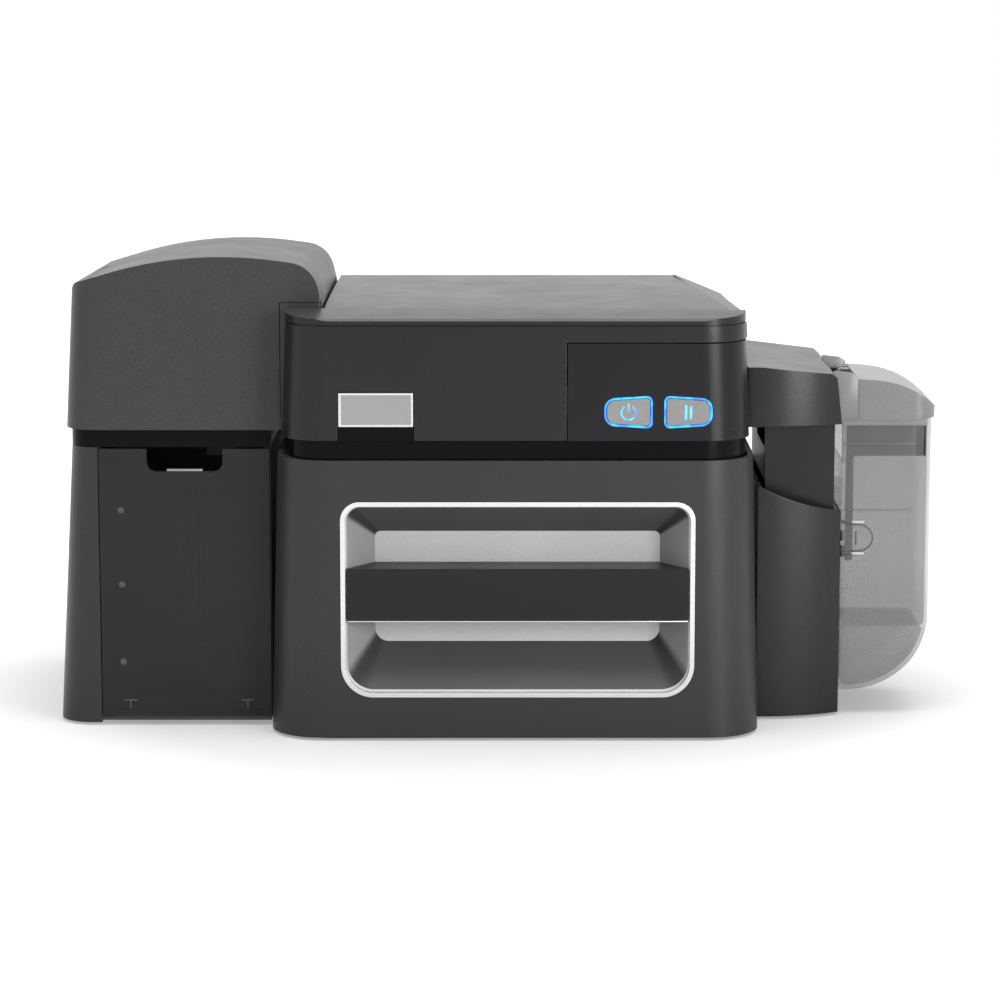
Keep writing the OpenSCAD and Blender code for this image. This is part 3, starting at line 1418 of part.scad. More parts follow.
// Smoked lid of the bin, hinged at the module
module bin_lid() {
    y0 = bin_y[0] - 1;
    y1 = bin_y[1] + 1;
    r = 12;
    color(SMOKE) difference() {
        union() {
            intersection() {
                front_plate(y0, y1)
                    polygon(concat([[bin_axis_x + 4, bin_lid_z]], bin_lid_curve(0), [[bin_right_x, bin_lid_z]]));
                block(bin_axis_x, bin_right_x, y0, y1, 0, 300, [0, r, r, 0]);
            }
            for (y = [y0, bin_y[0] + 10.6, bin_y[1] - 16.4, y1 - 6])
                bin_knuckle(y, y == y0 || y == y1 - 6 ? 6 : 5.8);
        }
        intersection() {
            front_plate(y0 + clear_wall, y1 - clear_wall)
                polygon(concat([[bin_axis_x + 6, bin_lid_z - 1]], [for (q = bin_lid_curve(clear_wall))
                    if (q[0] > bin_axis_x + 6) q], [[bin_right_x - clear_wall, bin_lid_z - 1]]));
            block(bin_axis_x, bin_right_x - clear_wall, y0 + clear_wall, y1 - clear_wall, 0, 300,
                [0, r - clear_wall, r - clear_wall, 0]);
        }
        bar_y(bin_axis_x, y0 - 1, y1 + 1, bin_axis_z, bin_pin_r + shaft_clear);
    }
}

module bin_knuckle(y, w) {
    block(bin_axis_x, bin_axis_x + 4.2, y, y + w, bin_axis_z - 2.2, bin_axis_z + 2.2);
    bar_y(bin_axis_x, y, y + w, bin_axis_z, 2.4);
}

module bin_pins() {
    color(STEEL) for (y = [bin_y[0] + 1, bin_y[1] - 15])
        bar_y(bin_axis_x, y, y + 14, bin_axis_z, bin_pin_r);
}

// Steel pins fixed in the base: front door, output door and bin lid
module hinge_pins() {
    door_pins();
    output_pins();
    bin_pins();
}

base_tray();
rubber_feet();
main_casing();
waist_band();
rear_cover();
lid_hinge_pins();
power_inlet();
usb_port();
main_board();
power_supply();
drive_motor();
front_frame_plate();
rear_frame_plate();
frame_ties();
card_guides();
print_head();
head_heat_sink();
cartridge_frame();
ribbon_film();
supply_spool();
takeup_spool();
feed_roller();
feed_gear();
platen_roller();
platen_gear();
exit_roller();
exit_gear();
idler_gear_a();
idler_gear_b();
motor_pinion();
feed_pinch_roller();
exit_pinch_roller();
pick_roller();
tower_casing();
tower_band();
tower_hood();
hopper_tray();
card_weight();
output_ramp();
hopper_door();
hopper_door_rod();
output_door();
front_door();
recess_pan();
recess_bezel();
handle_bar();
hinge_pins();
lid_skirt();
lid_top();
control_panel();
badge_plate();
button_rings();
button_board();
power_button();
pause_button();
module_lower_cover();
module_upper_cover();
module_chute();
output_bin();
bin_lid();
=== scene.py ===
"""Looks of a card printer with a card hopper and an output bin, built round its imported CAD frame.

Laid out as a Blender add-on: every piece or group of like pieces has its own operator, the sizes and
colours that a user would change are properties, and a panel in the 3D view's sidebar lists them all.
All lengths in the comments are millimetres; X is to the right, Y to the back, Z up."""

import json
import math

import bpy
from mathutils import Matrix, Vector

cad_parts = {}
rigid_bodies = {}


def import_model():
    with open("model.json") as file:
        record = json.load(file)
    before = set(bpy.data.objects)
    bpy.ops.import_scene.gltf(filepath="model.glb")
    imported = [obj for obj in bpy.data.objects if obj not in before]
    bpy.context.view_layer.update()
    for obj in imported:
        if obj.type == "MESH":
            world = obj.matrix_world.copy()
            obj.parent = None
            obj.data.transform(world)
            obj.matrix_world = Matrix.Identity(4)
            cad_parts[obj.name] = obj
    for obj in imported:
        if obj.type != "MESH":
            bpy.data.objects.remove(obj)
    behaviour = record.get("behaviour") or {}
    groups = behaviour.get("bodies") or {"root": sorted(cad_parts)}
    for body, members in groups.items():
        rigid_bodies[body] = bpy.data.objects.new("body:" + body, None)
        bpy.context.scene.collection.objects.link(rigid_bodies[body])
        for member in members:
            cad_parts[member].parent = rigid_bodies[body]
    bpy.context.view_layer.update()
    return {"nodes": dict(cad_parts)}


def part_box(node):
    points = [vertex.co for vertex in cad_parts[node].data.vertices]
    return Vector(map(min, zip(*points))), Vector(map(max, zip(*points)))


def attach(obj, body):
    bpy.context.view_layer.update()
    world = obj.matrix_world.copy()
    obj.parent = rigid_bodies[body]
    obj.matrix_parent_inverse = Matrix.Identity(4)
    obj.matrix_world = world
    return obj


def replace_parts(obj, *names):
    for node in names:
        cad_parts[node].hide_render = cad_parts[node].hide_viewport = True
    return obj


bl_info = {
    "name": "Card printer looks",
    "version": (1, 0, 0),
    "blender": (4, 5, 0),
    "location": "View3D > Sidebar > Card printer",
    "description": "Finishes, trims and small fittings of a card printer, and the studio it stands in",
    "category": "Object",
}

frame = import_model()
NODES = frame["nodes"]
MM = 0.001


# ---------------------------------------------------------------- sizes and colours


def colour_property(name, description, default):
    """A colour that a user may change."""
    return bpy.props.FloatVectorProperty(
        name=name, description=description, default=default, size=3, min=0, max=1, subtype="COLOR"
    )


def length_property(name, description, default_mm):
    """A length that a user may change, given here in millimetres."""
    return bpy.props.FloatProperty(
        name=name, description=description, default=default_mm * MM, min=0, unit="LENGTH", precision=5
    )


def power_property(name, description, watts):
    """The power of a lamp, that a user may change."""
    return bpy.props.FloatProperty(name=name, description=description, default=watts, min=0, unit="POWER")


class CardPrinterColours(bpy.types.PropertyGroup):
    """Colours of the mouldings"""

    casing: colour_property("Casing", "Textured plastic of the body and front door", (0.018, 0.018, 0.0186))
    lid: colour_property("Lid", "Textured plastic of the lid and the module's chute", (0.011, 0.011, 0.012))
    hood: colour_property("Hood", "Textured plastic of the hood and the hopper's door", (0.032, 0.032, 0.033))
    module: colour_property("Output module", "Textured plastic of the module", (0.008, 0.008, 0.0085))
    gloss: colour_property("Gloss bands", "Polished plastic of the bands and panel", (0.004, 0.004, 0.005))
    silver: colour_property("Recess", "Silver finish of the handle recess", (0.56, 0.562, 0.565))
    trim: colour_property("Trim", "Bright finish of the recess frame and the badge", (0.6, 0.6, 0.61))
    smoke: colour_property("Smoked door", "Dark smoked plastic of the output door", (0.018, 0.018, 0.02))
    clear: colour_property("Smoked bin", "Lightly smoked plastic of the bin", (0.2, 0.2, 0.2))
    cover: colour_property("Bin lid", "Denser smoked plastic of the bin's lid", (0.22, 0.22, 0.22))
    light: colour_property("Lit outline", "Light of the button outlines near their lamps", (0.0, 0.55, 1.0))
    deep_light: colour_property("Deep light", "Light of the outlines between their lamps", (0.0, 0.06, 0.9))


class CardPrinterSizes(bpy.types.PropertyGroup):
    """Sizes of edges, symbols and small fittings"""

    edge: length_property("Edge radius", "Rounding of the mouldings' edges", 0.45)
    fine_edge: length_property("Fine edge radius", "Rounding of thin trims and buttons", 0.2)
    symbol: length_property("Symbol height", "Height of the symbols on the two buttons", 7.4)
    stroke: length_property("Symbol stroke", "Width of a symbol's line", 0.9)
    screw: length_property("Screw head", "Diameter of the cover screws' heads", 5.6)


class CardPrinterStudio(bpy.types.PropertyGroup):
    """Lamps and room light"""

    key_power: power_property("Key lamp", "Power of the overhead softbox", 34)
    fill_power: power_property("Fill lamps", "Power of the left side lamp, twice that of the right one", 3.5)
    strip_power: power_property("Strip lamp", "Power of the lamp that draws the right corners", 20)
    room: bpy.props.FloatProperty(
        name="Room light", description="Strength of the room's plain light", default=0.4, min=0, max=2
    )


def colours():
    """The colours as the user has set them."""
    return bpy.context.scene.card_printer_colours


def sizes():
    """The sizes as the user has set them, in metres."""
    return bpy.context.scene.card_printer_sizes


def studio():
    """The light as the user has set it."""
    return bpy.context.scene.card_printer_studio


# ---------------------------------------------------------------- shared shader groups

MIDDLE = (0.3, 0.7)  # where most values of a noise lie
DUST = (0.42, 0.41, 0.39, 1)


def node_group(name, inputs, outputs):
    """A shader group with named inputs and outputs, and its two end nodes."""
    group = bpy.data.node_groups.new(name, "ShaderNodeTree")
    for label, kind, value in inputs:
        made = group.interface.new_socket(name=label, in_out="INPUT", socket_type=f"NodeSocket{kind}")
        made.default_value = value
    for label, kind in outputs:
        group.interface.new_socket(name=label, in_out="OUTPUT", socket_type=f"NodeSocket{kind}")
    return group, group.nodes.new("NodeGroupInput"), group.nodes.new("NodeGroupOutput")


def noise(nodes, links, vector, scale, detail, roughness=0.55):
    """A noise texture on the given coordinates; scale is a number or a socket, in features per metre."""
    made = nodes.new("ShaderNodeTexNoise")
    made.inputs["Detail"].default_value = detail
    made.inputs["Roughness"].default_value = roughness
    links.new(vector, made.inputs["Vector"])
    plug(links, scale, made.inputs["Scale"])
    return made.outputs["Fac"]


def plug(links, value, socket):
    """Feeds a socket from another socket, or sets it to a number."""
    if isinstance(value, (int, float)):
        socket.default_value = value
    else:
        links.new(value, socket)


def worked_out(nodes, links, operation, *values, clamp=False):
    """A math node on sockets or numbers."""
    made = nodes.new("ShaderNodeMath")
    made.operation = operation
    made.use_clamp = clamp
    for value, socket in zip(values, made.inputs):
        plug(links, value, socket)
    return made.outputs[0]


def remapped(nodes, links, value, from_range, to_range=(0, 1), curve="LINEAR"):
    """Takes a value from one range to another."""
    made = nodes.new("ShaderNodeMapRange")
    made.interpolation_type = curve
    for label, number in zip(("From Min", "From Max", "To Min", "To Max"), (*from_range, *to_range)):
        made.inputs[label].default_value = number
    links.new(value, made.inputs["Value"])
    return made.outputs["Result"]


def facing(nodes, links, normal):
    """The X, Y and Z of a surface normal."""
    made = nodes.new("ShaderNodeSeparateXYZ")
    links.new(nodes.new("ShaderNodeNewGeometry").outputs[normal], made.inputs[0])
    return made.outputs


def spread(nodes, links, value, from_range, amount):
    """Turns a noise in from_range into a number from 1 - amount to 1 + amount."""
    centred = remapped(nodes, links, value, from_range, (-1, 1))
    return worked_out(nodes, links, "MULTIPLY_ADD", centred, amount, 1)


def scaled_colour(nodes, links, colour, factor):
    """A colour made lighter or darker."""
    made = nodes.new("ShaderNodeVectorMath")
    made.operation = "SCALE"
    links.new(colour, made.inputs[0])
    links.new(factor, made.inputs["Scale"])
    return made.outputs[0]


def blended(nodes, links, factor, first, second):
    """A colour between two others; each is a socket or an RGBA colour."""
    made = nodes.new("ShaderNodeMix")
    made.data_type = "RGBA"
    links.new(factor, made.inputs["Factor"])
    for label, colour in (("A", first), ("B", second)):
        if isinstance(colour, tuple):
            made.inputs[label].default_value = colour
        else:
            links.new(colour, made.inputs[label])
    return made.outputs["Result"]


def build_moulded_grain():
    """Spark-eroded or satin grain of a moulding: pits and lighter peaks, with a slow change of tone."""
    group, start, end = node_group(
        "Moulded grain",
        [("Color", "Color", (0.1, 0.1, 0.1, 1)), ("Grains per metre", "Float", 1800.0),
         ("Tone", "Float", 0.06), ("Speckle", "Float", 0.2), ("Roughness", "Float", 0.5),
         ("Roughness spread", "Float", 0.08)],
        [("Color", "Color"), ("Roughness", "Float"), ("Height", "Float")],
    )
    nodes, links = group.nodes, group.links
    place = nodes.new("ShaderNodeTexCoord").outputs["Object"]
    grain = noise(nodes, links, place, start.outputs["Grains per metre"], 2.5, 0.65)
    cloudy = noise(nodes, links, place, 16.0, 2.0)
    tone = spread(nodes, links, cloudy, MIDDLE, start.outputs["Tone"])
    speckle = spread(nodes, links, grain, (0.35, 0.65), start.outputs["Speckle"])
    toned = scaled_colour(nodes, links, start.outputs["Color"], tone)
    links.new(scaled_colour(nodes, links, toned, speckle), end.inputs["Color"])
    patchy = noise(nodes, links, place, 55.0, 3.0)
    uneven = spread(nodes, links, patchy, MIDDLE, start.outputs["Roughness spread"])
    rough = worked_out(nodes, links, "MULTIPLY", uneven, start.outputs["Roughness"], clamp=True)
    links.new(rough, end.inputs["Roughness"])
    links.new(grain, end.inputs["Height"])
    return group


def build_handling():
    """Light dust on what faces up, and soft smudges that shine a little more."""
    group, start, end = node_group(
        "Handling and dust",
        [("Color", "Color", (0.1, 0.1, 0.1, 1)), ("Roughness", "Float", 0.5), ("Dust", "Float", 0.04),
         ("Smudges", "Float", 0.1)],
        [("Color", "Color"), ("Roughness", "Float")],
    )
    nodes, links = group.nodes, group.links
    place = nodes.new("ShaderNodeTexCoord").outputs["Object"]
    up = remapped(nodes, links, facing(nodes, links, "Normal")["Z"], (0.55, 1))
    settled = worked_out(nodes, links, "MULTIPLY", up, noise(nodes, links, place, 420.0, 4.0, 0.7))
    amount = worked_out(nodes, links, "MULTIPLY", settled, start.outputs["Dust"])
    dusty = blended(nodes, links, amount, start.outputs["Color"], DUST)
    links.new(dusty, end.inputs["Color"])
    patchy = noise(nodes, links, place, 28.0, 1.5)
    smudge = spread(nodes, links, patchy, (0.3, 0.75), start.outputs["Smudges"])
    rough = worked_out(nodes, links, "DIVIDE", start.outputs["Roughness"], smudge, clamp=True)
    links.new(rough, end.inputs["Roughness"])
    return group


def build_drawn_metal():
    """Fine drawing lines along X of a rolled or drawn metal."""
    group, start, end = node_group(
        "Drawn metal",
        [("Color", "Color", (0.6, 0.6, 0.6, 1)), ("Roughness", "Float", 0.3), ("Lines", "Float", 0.12)],
        [("Color", "Color"), ("Roughness", "Float"), ("Height", "Float")],
    )
    nodes, links = group.nodes, group.links
    stretch = nodes.new("ShaderNodeMapping")
    stretch.inputs["Scale"].default_value = (0.04, 1.0, 1.0)
    links.new(nodes.new("ShaderNodeTexCoord").outputs["Object"], stretch.inputs["Vector"])
    line = noise(nodes, links, stretch.outputs[0], 2600.0, 3.0, 0.6)
    factor = spread(nodes, links, line, MIDDLE, start.outputs["Lines"])
    links.new(scaled_colour(nodes, links, start.outputs["Color"], factor), end.inputs["Color"])
    rough = worked_out(nodes, links, "MULTIPLY", factor, start.outputs["Roughness"])
    links.new(rough, end.inputs["Roughness"])
    links.new(line, end.inputs["Height"])
    return group


# ---------------------------------------------------------------- finishes


def new_material(name):
    """An empty node material with its surface shader."""
    made = bpy.data.materials.new(name)
    made.use_nodes = True
    nodes, links = made.node_tree.nodes, made.node_tree.links
    nodes.clear()
    shader = nodes.new("ShaderNodeBsdfPrincipled")
    links.new(shader.outputs["BSDF"], nodes.new("ShaderNodeOutputMaterial").inputs["Surface"])
    return made, nodes, links, shader


def placed_group(nodes, name, values):
    """The shared group in one material, with that material's own values."""
    made = nodes.new("ShaderNodeGroup")
    made.node_tree = bpy.data.node_groups[name]
    for label, value in values.items():
        made.inputs[label].default_value = value
    return made


def surfaced(nodes, links, shader, texture, depth_mm, dust, smudges, sockets):
    """Feeds a texture group to the shader, with dust and smudges; sockets are constants of the shader."""
    worn = placed_group(nodes, "Handling and dust", {"Dust": dust, "Smudges": smudges})
    for label, socket in (("Color", "Base Color"), ("Roughness", "Roughness")):
        links.new(texture.outputs[label], worn.inputs[label])
        links.new(worn.outputs[label], shader.inputs[socket])
    bump = nodes.new("ShaderNodeBump")
    bump.inputs["Distance"].default_value = depth_mm * MM
    links.new(texture.outputs["Height"], bump.inputs["Height"])
    links.new(bump.outputs["Normal"], shader.inputs["Normal"])
    for label, value in sockets.items():
        shader.inputs[label.replace("_", " ")].default_value = value


def node_of(nodes, kind):
    """The only node of a kind."""
    return next(n for n in nodes if n.type == kind)


def moulded(name, colour, roughness, grain_mm=0.55, speckle=0.2, depth_mm=0.03, tone=0.05, dust=0.03,
            smudges=0.08, **sockets):
    """A moulded finish: grain, slow tone change, dust and smudges."""
    made, nodes, links, shader = new_material(name)
    grain = placed_group(nodes, "Moulded grain", {
        "Color": (*colour, 1), "Grains per metre": 1000 / grain_mm, "Tone": tone, "Speckle": speckle,
        "Roughness": roughness, "Roughness spread": 0.1})
    surfaced(nodes, links, shader, grain, depth_mm, dust, smudges, sockets)
    return made


def lacquered(name, colour, roughness, side, upright, **sockets):
    """A silver lacquer with painted shade: its colour is drawn darker on what faces sideways, up or down."""
    made = moulded(name, colour, roughness, 0.35, 0.09, 0.008, 0.04, 0.01, 0.06, **sockets)
    nodes, links = made.node_tree.nodes, made.node_tree.links
    base = node_of(nodes, "BSDF_PRINCIPLED").inputs["Base Color"]
    shaded_colour = base.links[0].from_socket
    normal = facing(nodes, links, "True Normal")
    # Painted shade: the colour is scaled down towards its darkest as a face turns sideways (X) or up or down
    # (Z).
    for axis, darkest_shade in (("X", side), ("Z", upright)):
        turned = worked_out(nodes, links, "ABSOLUTE", normal[axis])
        painted_shade = remapped(nodes, links, turned, (0.05, 0.4), (1, darkest_shade), "SMOOTHSTEP")
        shaded_colour = scaled_colour(nodes, links, shaded_colour, painted_shade)
    links.new(shaded_colour, base)
    return made


def drawn(name, colour, roughness, lines=0.12):
    """A drawn or rolled metal finish."""
    made, nodes, links, shader = new_material(name)
    metal = placed_group(nodes, "Drawn metal", {
        "Color": (*colour, 1), "Roughness": roughness, "Lines": lines})
    surfaced(nodes, links, shader, metal, 0.004, 0.02, 0.12, {"Metallic": 1.0})
    return made


def lit(name, bright, deep):
    """A light guide: clear plastic lit from behind, brighter near its lamps and deeper between them."""
    made = moulded(name, [0.4 * c + 0.05 for c in bright], 0.35, 1.2, 0.05, 0.01, 0.02, 0.0, 0.03)
    nodes, links = made.node_tree.nodes, made.node_tree.links
    shader = node_of(nodes, "BSDF_PRINCIPLED")
    place = nodes.new("ShaderNodeTexCoord").outputs["Object"]
    lamps = remapped(nodes, links, noise(nodes, links, place, 170.0, 1.0), (0.42, 0.6))
    light = blended(nodes, links, lamps, (*deep, 1), (*bright, 1))
    links.new(light, shader.inputs["Emission Color"])
    shader.inputs["Emission Strength"].default_value = 1
    return made


def build_finishes():
    """All the materials, by name; the numbers come in the order of the function's inputs."""
    c = colours()
    return {
        "casing": moulded("textured_casing", c.casing, 0.4, 0.6, 0.3, 0.045, dust=0.06,
                          Specular_IOR_Level=0.36),
        "lid": moulded("textured_lid", c.lid, 0.3, 0.6, 0.32, 0.03, dust=0.08, Specular_IOR_Level=0.26),
        "hood": moulded("textured_hood", c.hood, 0.38, 0.6, 0.26, 0.03, dust=0.06, Specular_IOR_Level=0.36),
        "module": moulded("textured_module", c.module, 0.28, 0.6, 0.28, 0.02, dust=0.05,
                          Specular_IOR_Level=0.3),
        "gloss": moulded("gloss_black", c.gloss, 0.2, 0.9, 0.08, 0.003, 0.04, 0.02, 0.25,
                         Specular_IOR_Level=0.06),
        "panel": moulded("satin_panel", [v * 2 for v in c.gloss], 0.3, 0.5, 0.18, 0.015, 0.05, 0.02, 0.2,
                         Specular_IOR_Level=0.2),
        "bar": moulded("engraved_bar", [v * 2.2 for v in c.gloss], 0.34, 0.35, 0.35, 0.02, 0.05, 0.02, 0.1,
                       Specular_IOR_Level=0.22),
        # The recess's silver, with painted shade on its side, top and bottom walls.
        "silver": lacquered("silver_lacquer_painted_shade", c.silver, 0.5, 0.52, 0.13, Specular_IOR_Level=0.15),
        "trim": drawn("bright_trim", c.trim, 0.26, 0.06),
        "badge": moulded("badge_field", (0.29, 0.295, 0.3), 0.35, 0.4, 0.1, 0.006, 0.05, 0.01, 0.1,
                         Metallic=0.6),
        "smoke": moulded("smoked_door", c.smoke, 0.3, 0.7, 0.15, 0.01, 0.06, 0.02, 0.15,
                         Alpha=0.72, Specular_IOR_Level=0.3),
        "clear": moulded("smoked_bin", c.clear, 0.16, 1.5, 0.04, 0.0, 0.05, 0.01, 0.1,
                         Alpha=0.44, Specular_IOR_Level=0.3),
        "cover": moulded("smoked_bin_lid", c.cover, 0.3, 0.8, 0.08, 0.0, 0.05, 0.01, 0.1,
                         Alpha=0.9, Specular_IOR_Level=0.4),
        "steel": drawn("drawn_steel", (0.56, 0.57, 0.58), 0.3),
        "inner": moulded("moulded_inner", (0.06, 0.06, 0.065), 0.55, 0.8, 0.16, 0.03),
        "mid_grey": moulded("satin_button", (0.25, 0.245, 0.24), 0.4, 0.4, 0.12, 0.012, 0.05, 0.01, 0.15),
        "gear": moulded("acetal_gear", (0.72, 0.70, 0.63), 0.4, 1.1, 0.05, 0.01),
        "brass": drawn("turned_brass", (0.72, 0.55, 0.25), 0.28),
        "rubber": moulded("ground_rubber", (0.022, 0.022, 0.023), 0.75, 0.35, 0.3, 0.05, dust=0.12),
        "pinch": moulded("grey_roller", (0.2, 0.2, 0.21), 0.6, 0.4, 0.15, 0.03),
        "board": moulded("solder_mask", (0.012, 0.085, 0.035), 0.35, 2.2, 0.25, 0.02),
        "alloy": drawn("milled_alloy", (0.62, 0.63, 0.65), 0.34, 0.16),
        "cartridge": moulded("cartridge_plastic", (0.05, 0.14, 0.3), 0.45, 0.8, 0.12, 0.02),
        "film": moulded("ribbon_film", (0.11, 0.035, 0.14), 0.22, 1.5, 0.1, 0.004, 0.12, 0.0, 0.2),
        "ring": lit("lit_ring", c.light, c.deep_light),
        "symbol": lit("lit_symbol", [v + 0.1 for v in c.light], c.deep_light),
    }


FINISHES = {}


def finish(piece, name):
    """Gives a piece or a CAD node one finish all over."""
    piece.data.materials.clear()
    piece.data.materials.append(FINISHES[name])


# ---------------------------------------------------------------- modelling by hand


def pick_none():
    """Deselects every object."""
    bpy.ops.object.select_all(action="DESELECT")


def pick(piece):
    """Selects one object and makes it the active one."""
    pick_none()
    piece.select_set(True)
    bpy.context.view_layer.objects.active = piece


def settle(name):
    """Names the new object and puts its place into its mesh."""
    piece = bpy.context.object
    piece.name = piece.data.name = name
    bpy.ops.object.transform_apply(location=True, rotation=True, scale=True)
    return piece


def edit(piece, mode):
    """Opens the piece in edit mode with nothing selected, in VERT, EDGE or FACE mode."""
    pick(piece)
    bpy.ops.object.mode_set(mode="EDIT")
    bpy.ops.mesh.select_mode(type=mode)
    bpy.ops.mesh.select_all(action="DESELECT")


def select_whole():
    """Selects the whole mesh in edit mode."""
    bpy.ops.mesh.select_all(action="SELECT")


def finish_faces(piece, name, wanted):
    """Gives a second finish to the faces for which wanted(centre in mm, normal) holds."""
    piece.data.materials.append(FINISHES[name])
    for face in piece.data.polygons:
        if wanted(face.center / MM, face.normal):
            face.material_index = len(piece.data.materials) - 1


def select_faces(piece, wanted):
    """Selects the faces for which wanted(centre in mm, normal) holds; the piece stays in edit mode."""
    leave_edit()
    for face in piece.data.polygons:
        face.select = bool(wanted(face.center / MM, face.normal))
    bpy.ops.object.mode_set(mode="EDIT")


def leave_edit():
    """Back from edit mode to object mode."""
    bpy.ops.object.mode_set(mode="OBJECT")


def smooth(piece, degrees=30):
    """Smooth shading with sharp edges kept."""
    pick(piece)
    bpy.ops.object.shade_smooth_by_angle(angle=math.radians(degrees))
    return piece


def bar(name, low, high, edge_mm):
    """A bar between two corners in mm with all its edges rounded."""
    pick_none()
    middle = [(a + b) / 2 * MM for a, b in zip(low, high)]
    size = [(b - a) * MM for a, b in zip(low, high)]
    bpy.ops.mesh.primitive_cube_add(size=1, location=middle, scale=size)
    piece = settle(name)
    edit(piece, "EDGE")
    select_whole()
    bpy.ops.mesh.bevel(offset=edge_mm * MM, segments=2, affect="EDGES")
    leave_edit()
    return smooth(piece)


TURNS = {"x": (0, math.pi / 2, 0), "y": (-math.pi / 2, 0, 0), "z": (0, 0, 0)}


def disc(name, centre, radius, length, axis, edge_mm, sides=40):
    """A round piece with its axis along x, y or z and its rims rounded; sizes in mm."""
    pick_none()
    bpy.ops.mesh.primitive_cylinder_add(vertices=sides, radius=radius * MM, depth=length * MM,
                                        location=[v * MM for v in centre], rotation=TURNS[axis])
    piece = settle(name)
    across = "xyz".index(axis)
    edit(piece, "FACE")
    select_faces(piece, lambda at, normal: abs(normal[across]) > 0.9)
    bpy.ops.mesh.bevel(offset=edge_mm * MM, segments=2, affect="EDGES")
    leave_edit()
    return smooth(piece)


def prism(name, outline, y0, y1, edge_mm):
    """A flat outline of (x, z) points in mm, drawn from one vertex and pulled from y0 to y1."""
    pick_none()
    bpy.ops.mesh.primitive_plane_add(size=0.001)
    piece = settle(name)
    edit(piece, "VERT")
    select_whole()
    bpy.ops.mesh.merge(type="CENTER")
    x, z = outline[0]
    bpy.ops.transform.translate(value=(x * MM, y0 * MM, z * MM))
    for (xa, za), (xb, zb) in zip(outline, outline[1:]):
        step = ((xb - xa) * MM, 0, (zb - za) * MM)
        bpy.ops.mesh.extrude_vertices_move(TRANSFORM_OT_translate={"value": step})
    select_whole()
    bpy.ops.mesh.edge_face_add()
    bpy.ops.mesh.extrude_region_move(TRANSFORM_OT_translate={"value": (0, (y1 - y0) * MM, 0)})
    select_whole()
    bpy.ops.mesh.normals_make_consistent(inside=False)
    leave_edit()
    add_bevel(piece, edge_mm, 30)
    return smooth(piece)


def add_bevel(piece, edge_mm, degrees):
    """Rounds the piece's sharp edges with a modifier that is then applied."""
    pick(piece)
    rounding = piece.modifiers.new("rounding", "BEVEL")
    rounding.width = edge_mm * MM
    rounding.segments = 2
    rounding.limit_method = "ANGLE"
    rounding.angle_limit = math.radians(degrees)
    rounding.use_clamp_overlap = False
    rounding.miter_outer = "MITER_SHARP"
    bpy.ops.object.modifier_apply(modifier=rounding.name)


def joined(name, parts):
    """Several pieces made into one."""
    pick_none()
    for part in parts:
        part.select_set(True)
    bpy.context.view_layer.objects.active = parts[0]
    bpy.ops.object.join()
    piece = bpy.context.object
    piece.name = piece.data.name = name
    return piece


def copied(piece, name, move_mm):
    """A copy with its own mesh, moved by so many mm."""
    pick(piece)
    bpy.ops.object.duplicate(linked=False)
    bpy.ops.transform.translate(value=[v * MM for v in move_mm])
    return settle(name)


def fitted(piece, body, finish_name):
    """Puts a finished piece on its CAD body, with its finish."""
    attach(piece, body)
    finish(piece, finish_name)
    return piece


SHARP_TO_SHADE, SHARP_TO_ROUND = 32, 50  # degrees, for edges of the CAD mouldings


def even_shading(piece):
    """Drops the normals that came with the mesh, then shades flat faces flat and round ones round."""
    pick(piece)
    bpy.ops.mesh.customdata_custom_splitnormals_clear()
    smooth(piece, SHARP_TO_SHADE)
    even = piece.modifiers.new("even_shading", "WEIGHTED_NORMAL")
    even.keep_sharp = True
    even.weight = 100
    bpy.ops.object.modifier_apply(modifier=even.name)


def softened(node, body, finish_name, edge_mm):
    """A copy of a CAD moulding with its edges rounded, which stands for that node."""
    pick(NODES[node])
    bpy.ops.object.duplicate(linked=False)
    bpy.ops.object.parent_clear(type="CLEAR_KEEP_TRANSFORM")
    piece = bpy.context.object
    piece.name = piece.data.name = f"{node}_moulding"
    edit(piece, "VERT")
    select_whole()
    bpy.ops.mesh.remove_doubles(threshold=0.002 * MM)
    bpy.ops.mesh.dissolve_limited(angle_limit=math.radians(0.4))
    leave_edit()
    if edge_mm:
        add_bevel(piece, edge_mm, SHARP_TO_ROUND)
    even_shading(piece)
    for key in [k for k in piece.keys() if k.startswith("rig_")]:
        del piece[key]
    fitted(piece, body, finish_name)
    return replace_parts(piece, node)


# ---------------------------------------------------------------- one operator per piece or group of pieces

CAD_FINISHES = {
    "inner": ["base_tray", "main_casing", "rear_cover", "waist_band", "tower_casing", "tower_band",
              "card_guides", "hopper_tray", "output_ramp", "card_weight", "power_inlet",
              "lid_skirt", "lid_top", "tower_hood", "hopper_door", "output_door", "front_door",
              "module_lower_cover", "module_upper_cover", "output_bin", "bin_lid", "control_panel"],
    "lid": ["module_chute"],
    "steel": ["lid_hinge_pins", "hinge_pins", "hopper_door_rod", "front_frame_plate", "rear_frame_plate",
              "frame_ties", "usb_port", "drive_motor"],
    "alloy": ["head_heat_sink", "power_supply"],
    "board": ["main_board", "button_board"],
    "gear": ["feed_gear", "platen_gear", "exit_gear", "idler_gear_a", "idler_gear_b"],
    "brass": ["motor_pinion"],
    "rubber": ["rubber_feet", "feed_roller", "platen_roller", "exit_roller", "pick_roller"],
    "pinch": ["feed_pinch_roller", "exit_pinch_roller"],
    "cartridge": ["cartridge_frame"],
    "film": ["ribbon_film", "supply_spool", "takeup_spool"],
    "gloss": ["print_head", "handle_bar"],
    "silver": ["recess_pan"],
    "trim": ["recess_bezel", "badge_plate"],
    "ring": ["button_rings"],
    "mid_grey": ["power_button", "pause_button"],
}


class CardPrinterStep:
    """What all the operators share"""

    bl_options = {"REGISTER", "UNDO"}


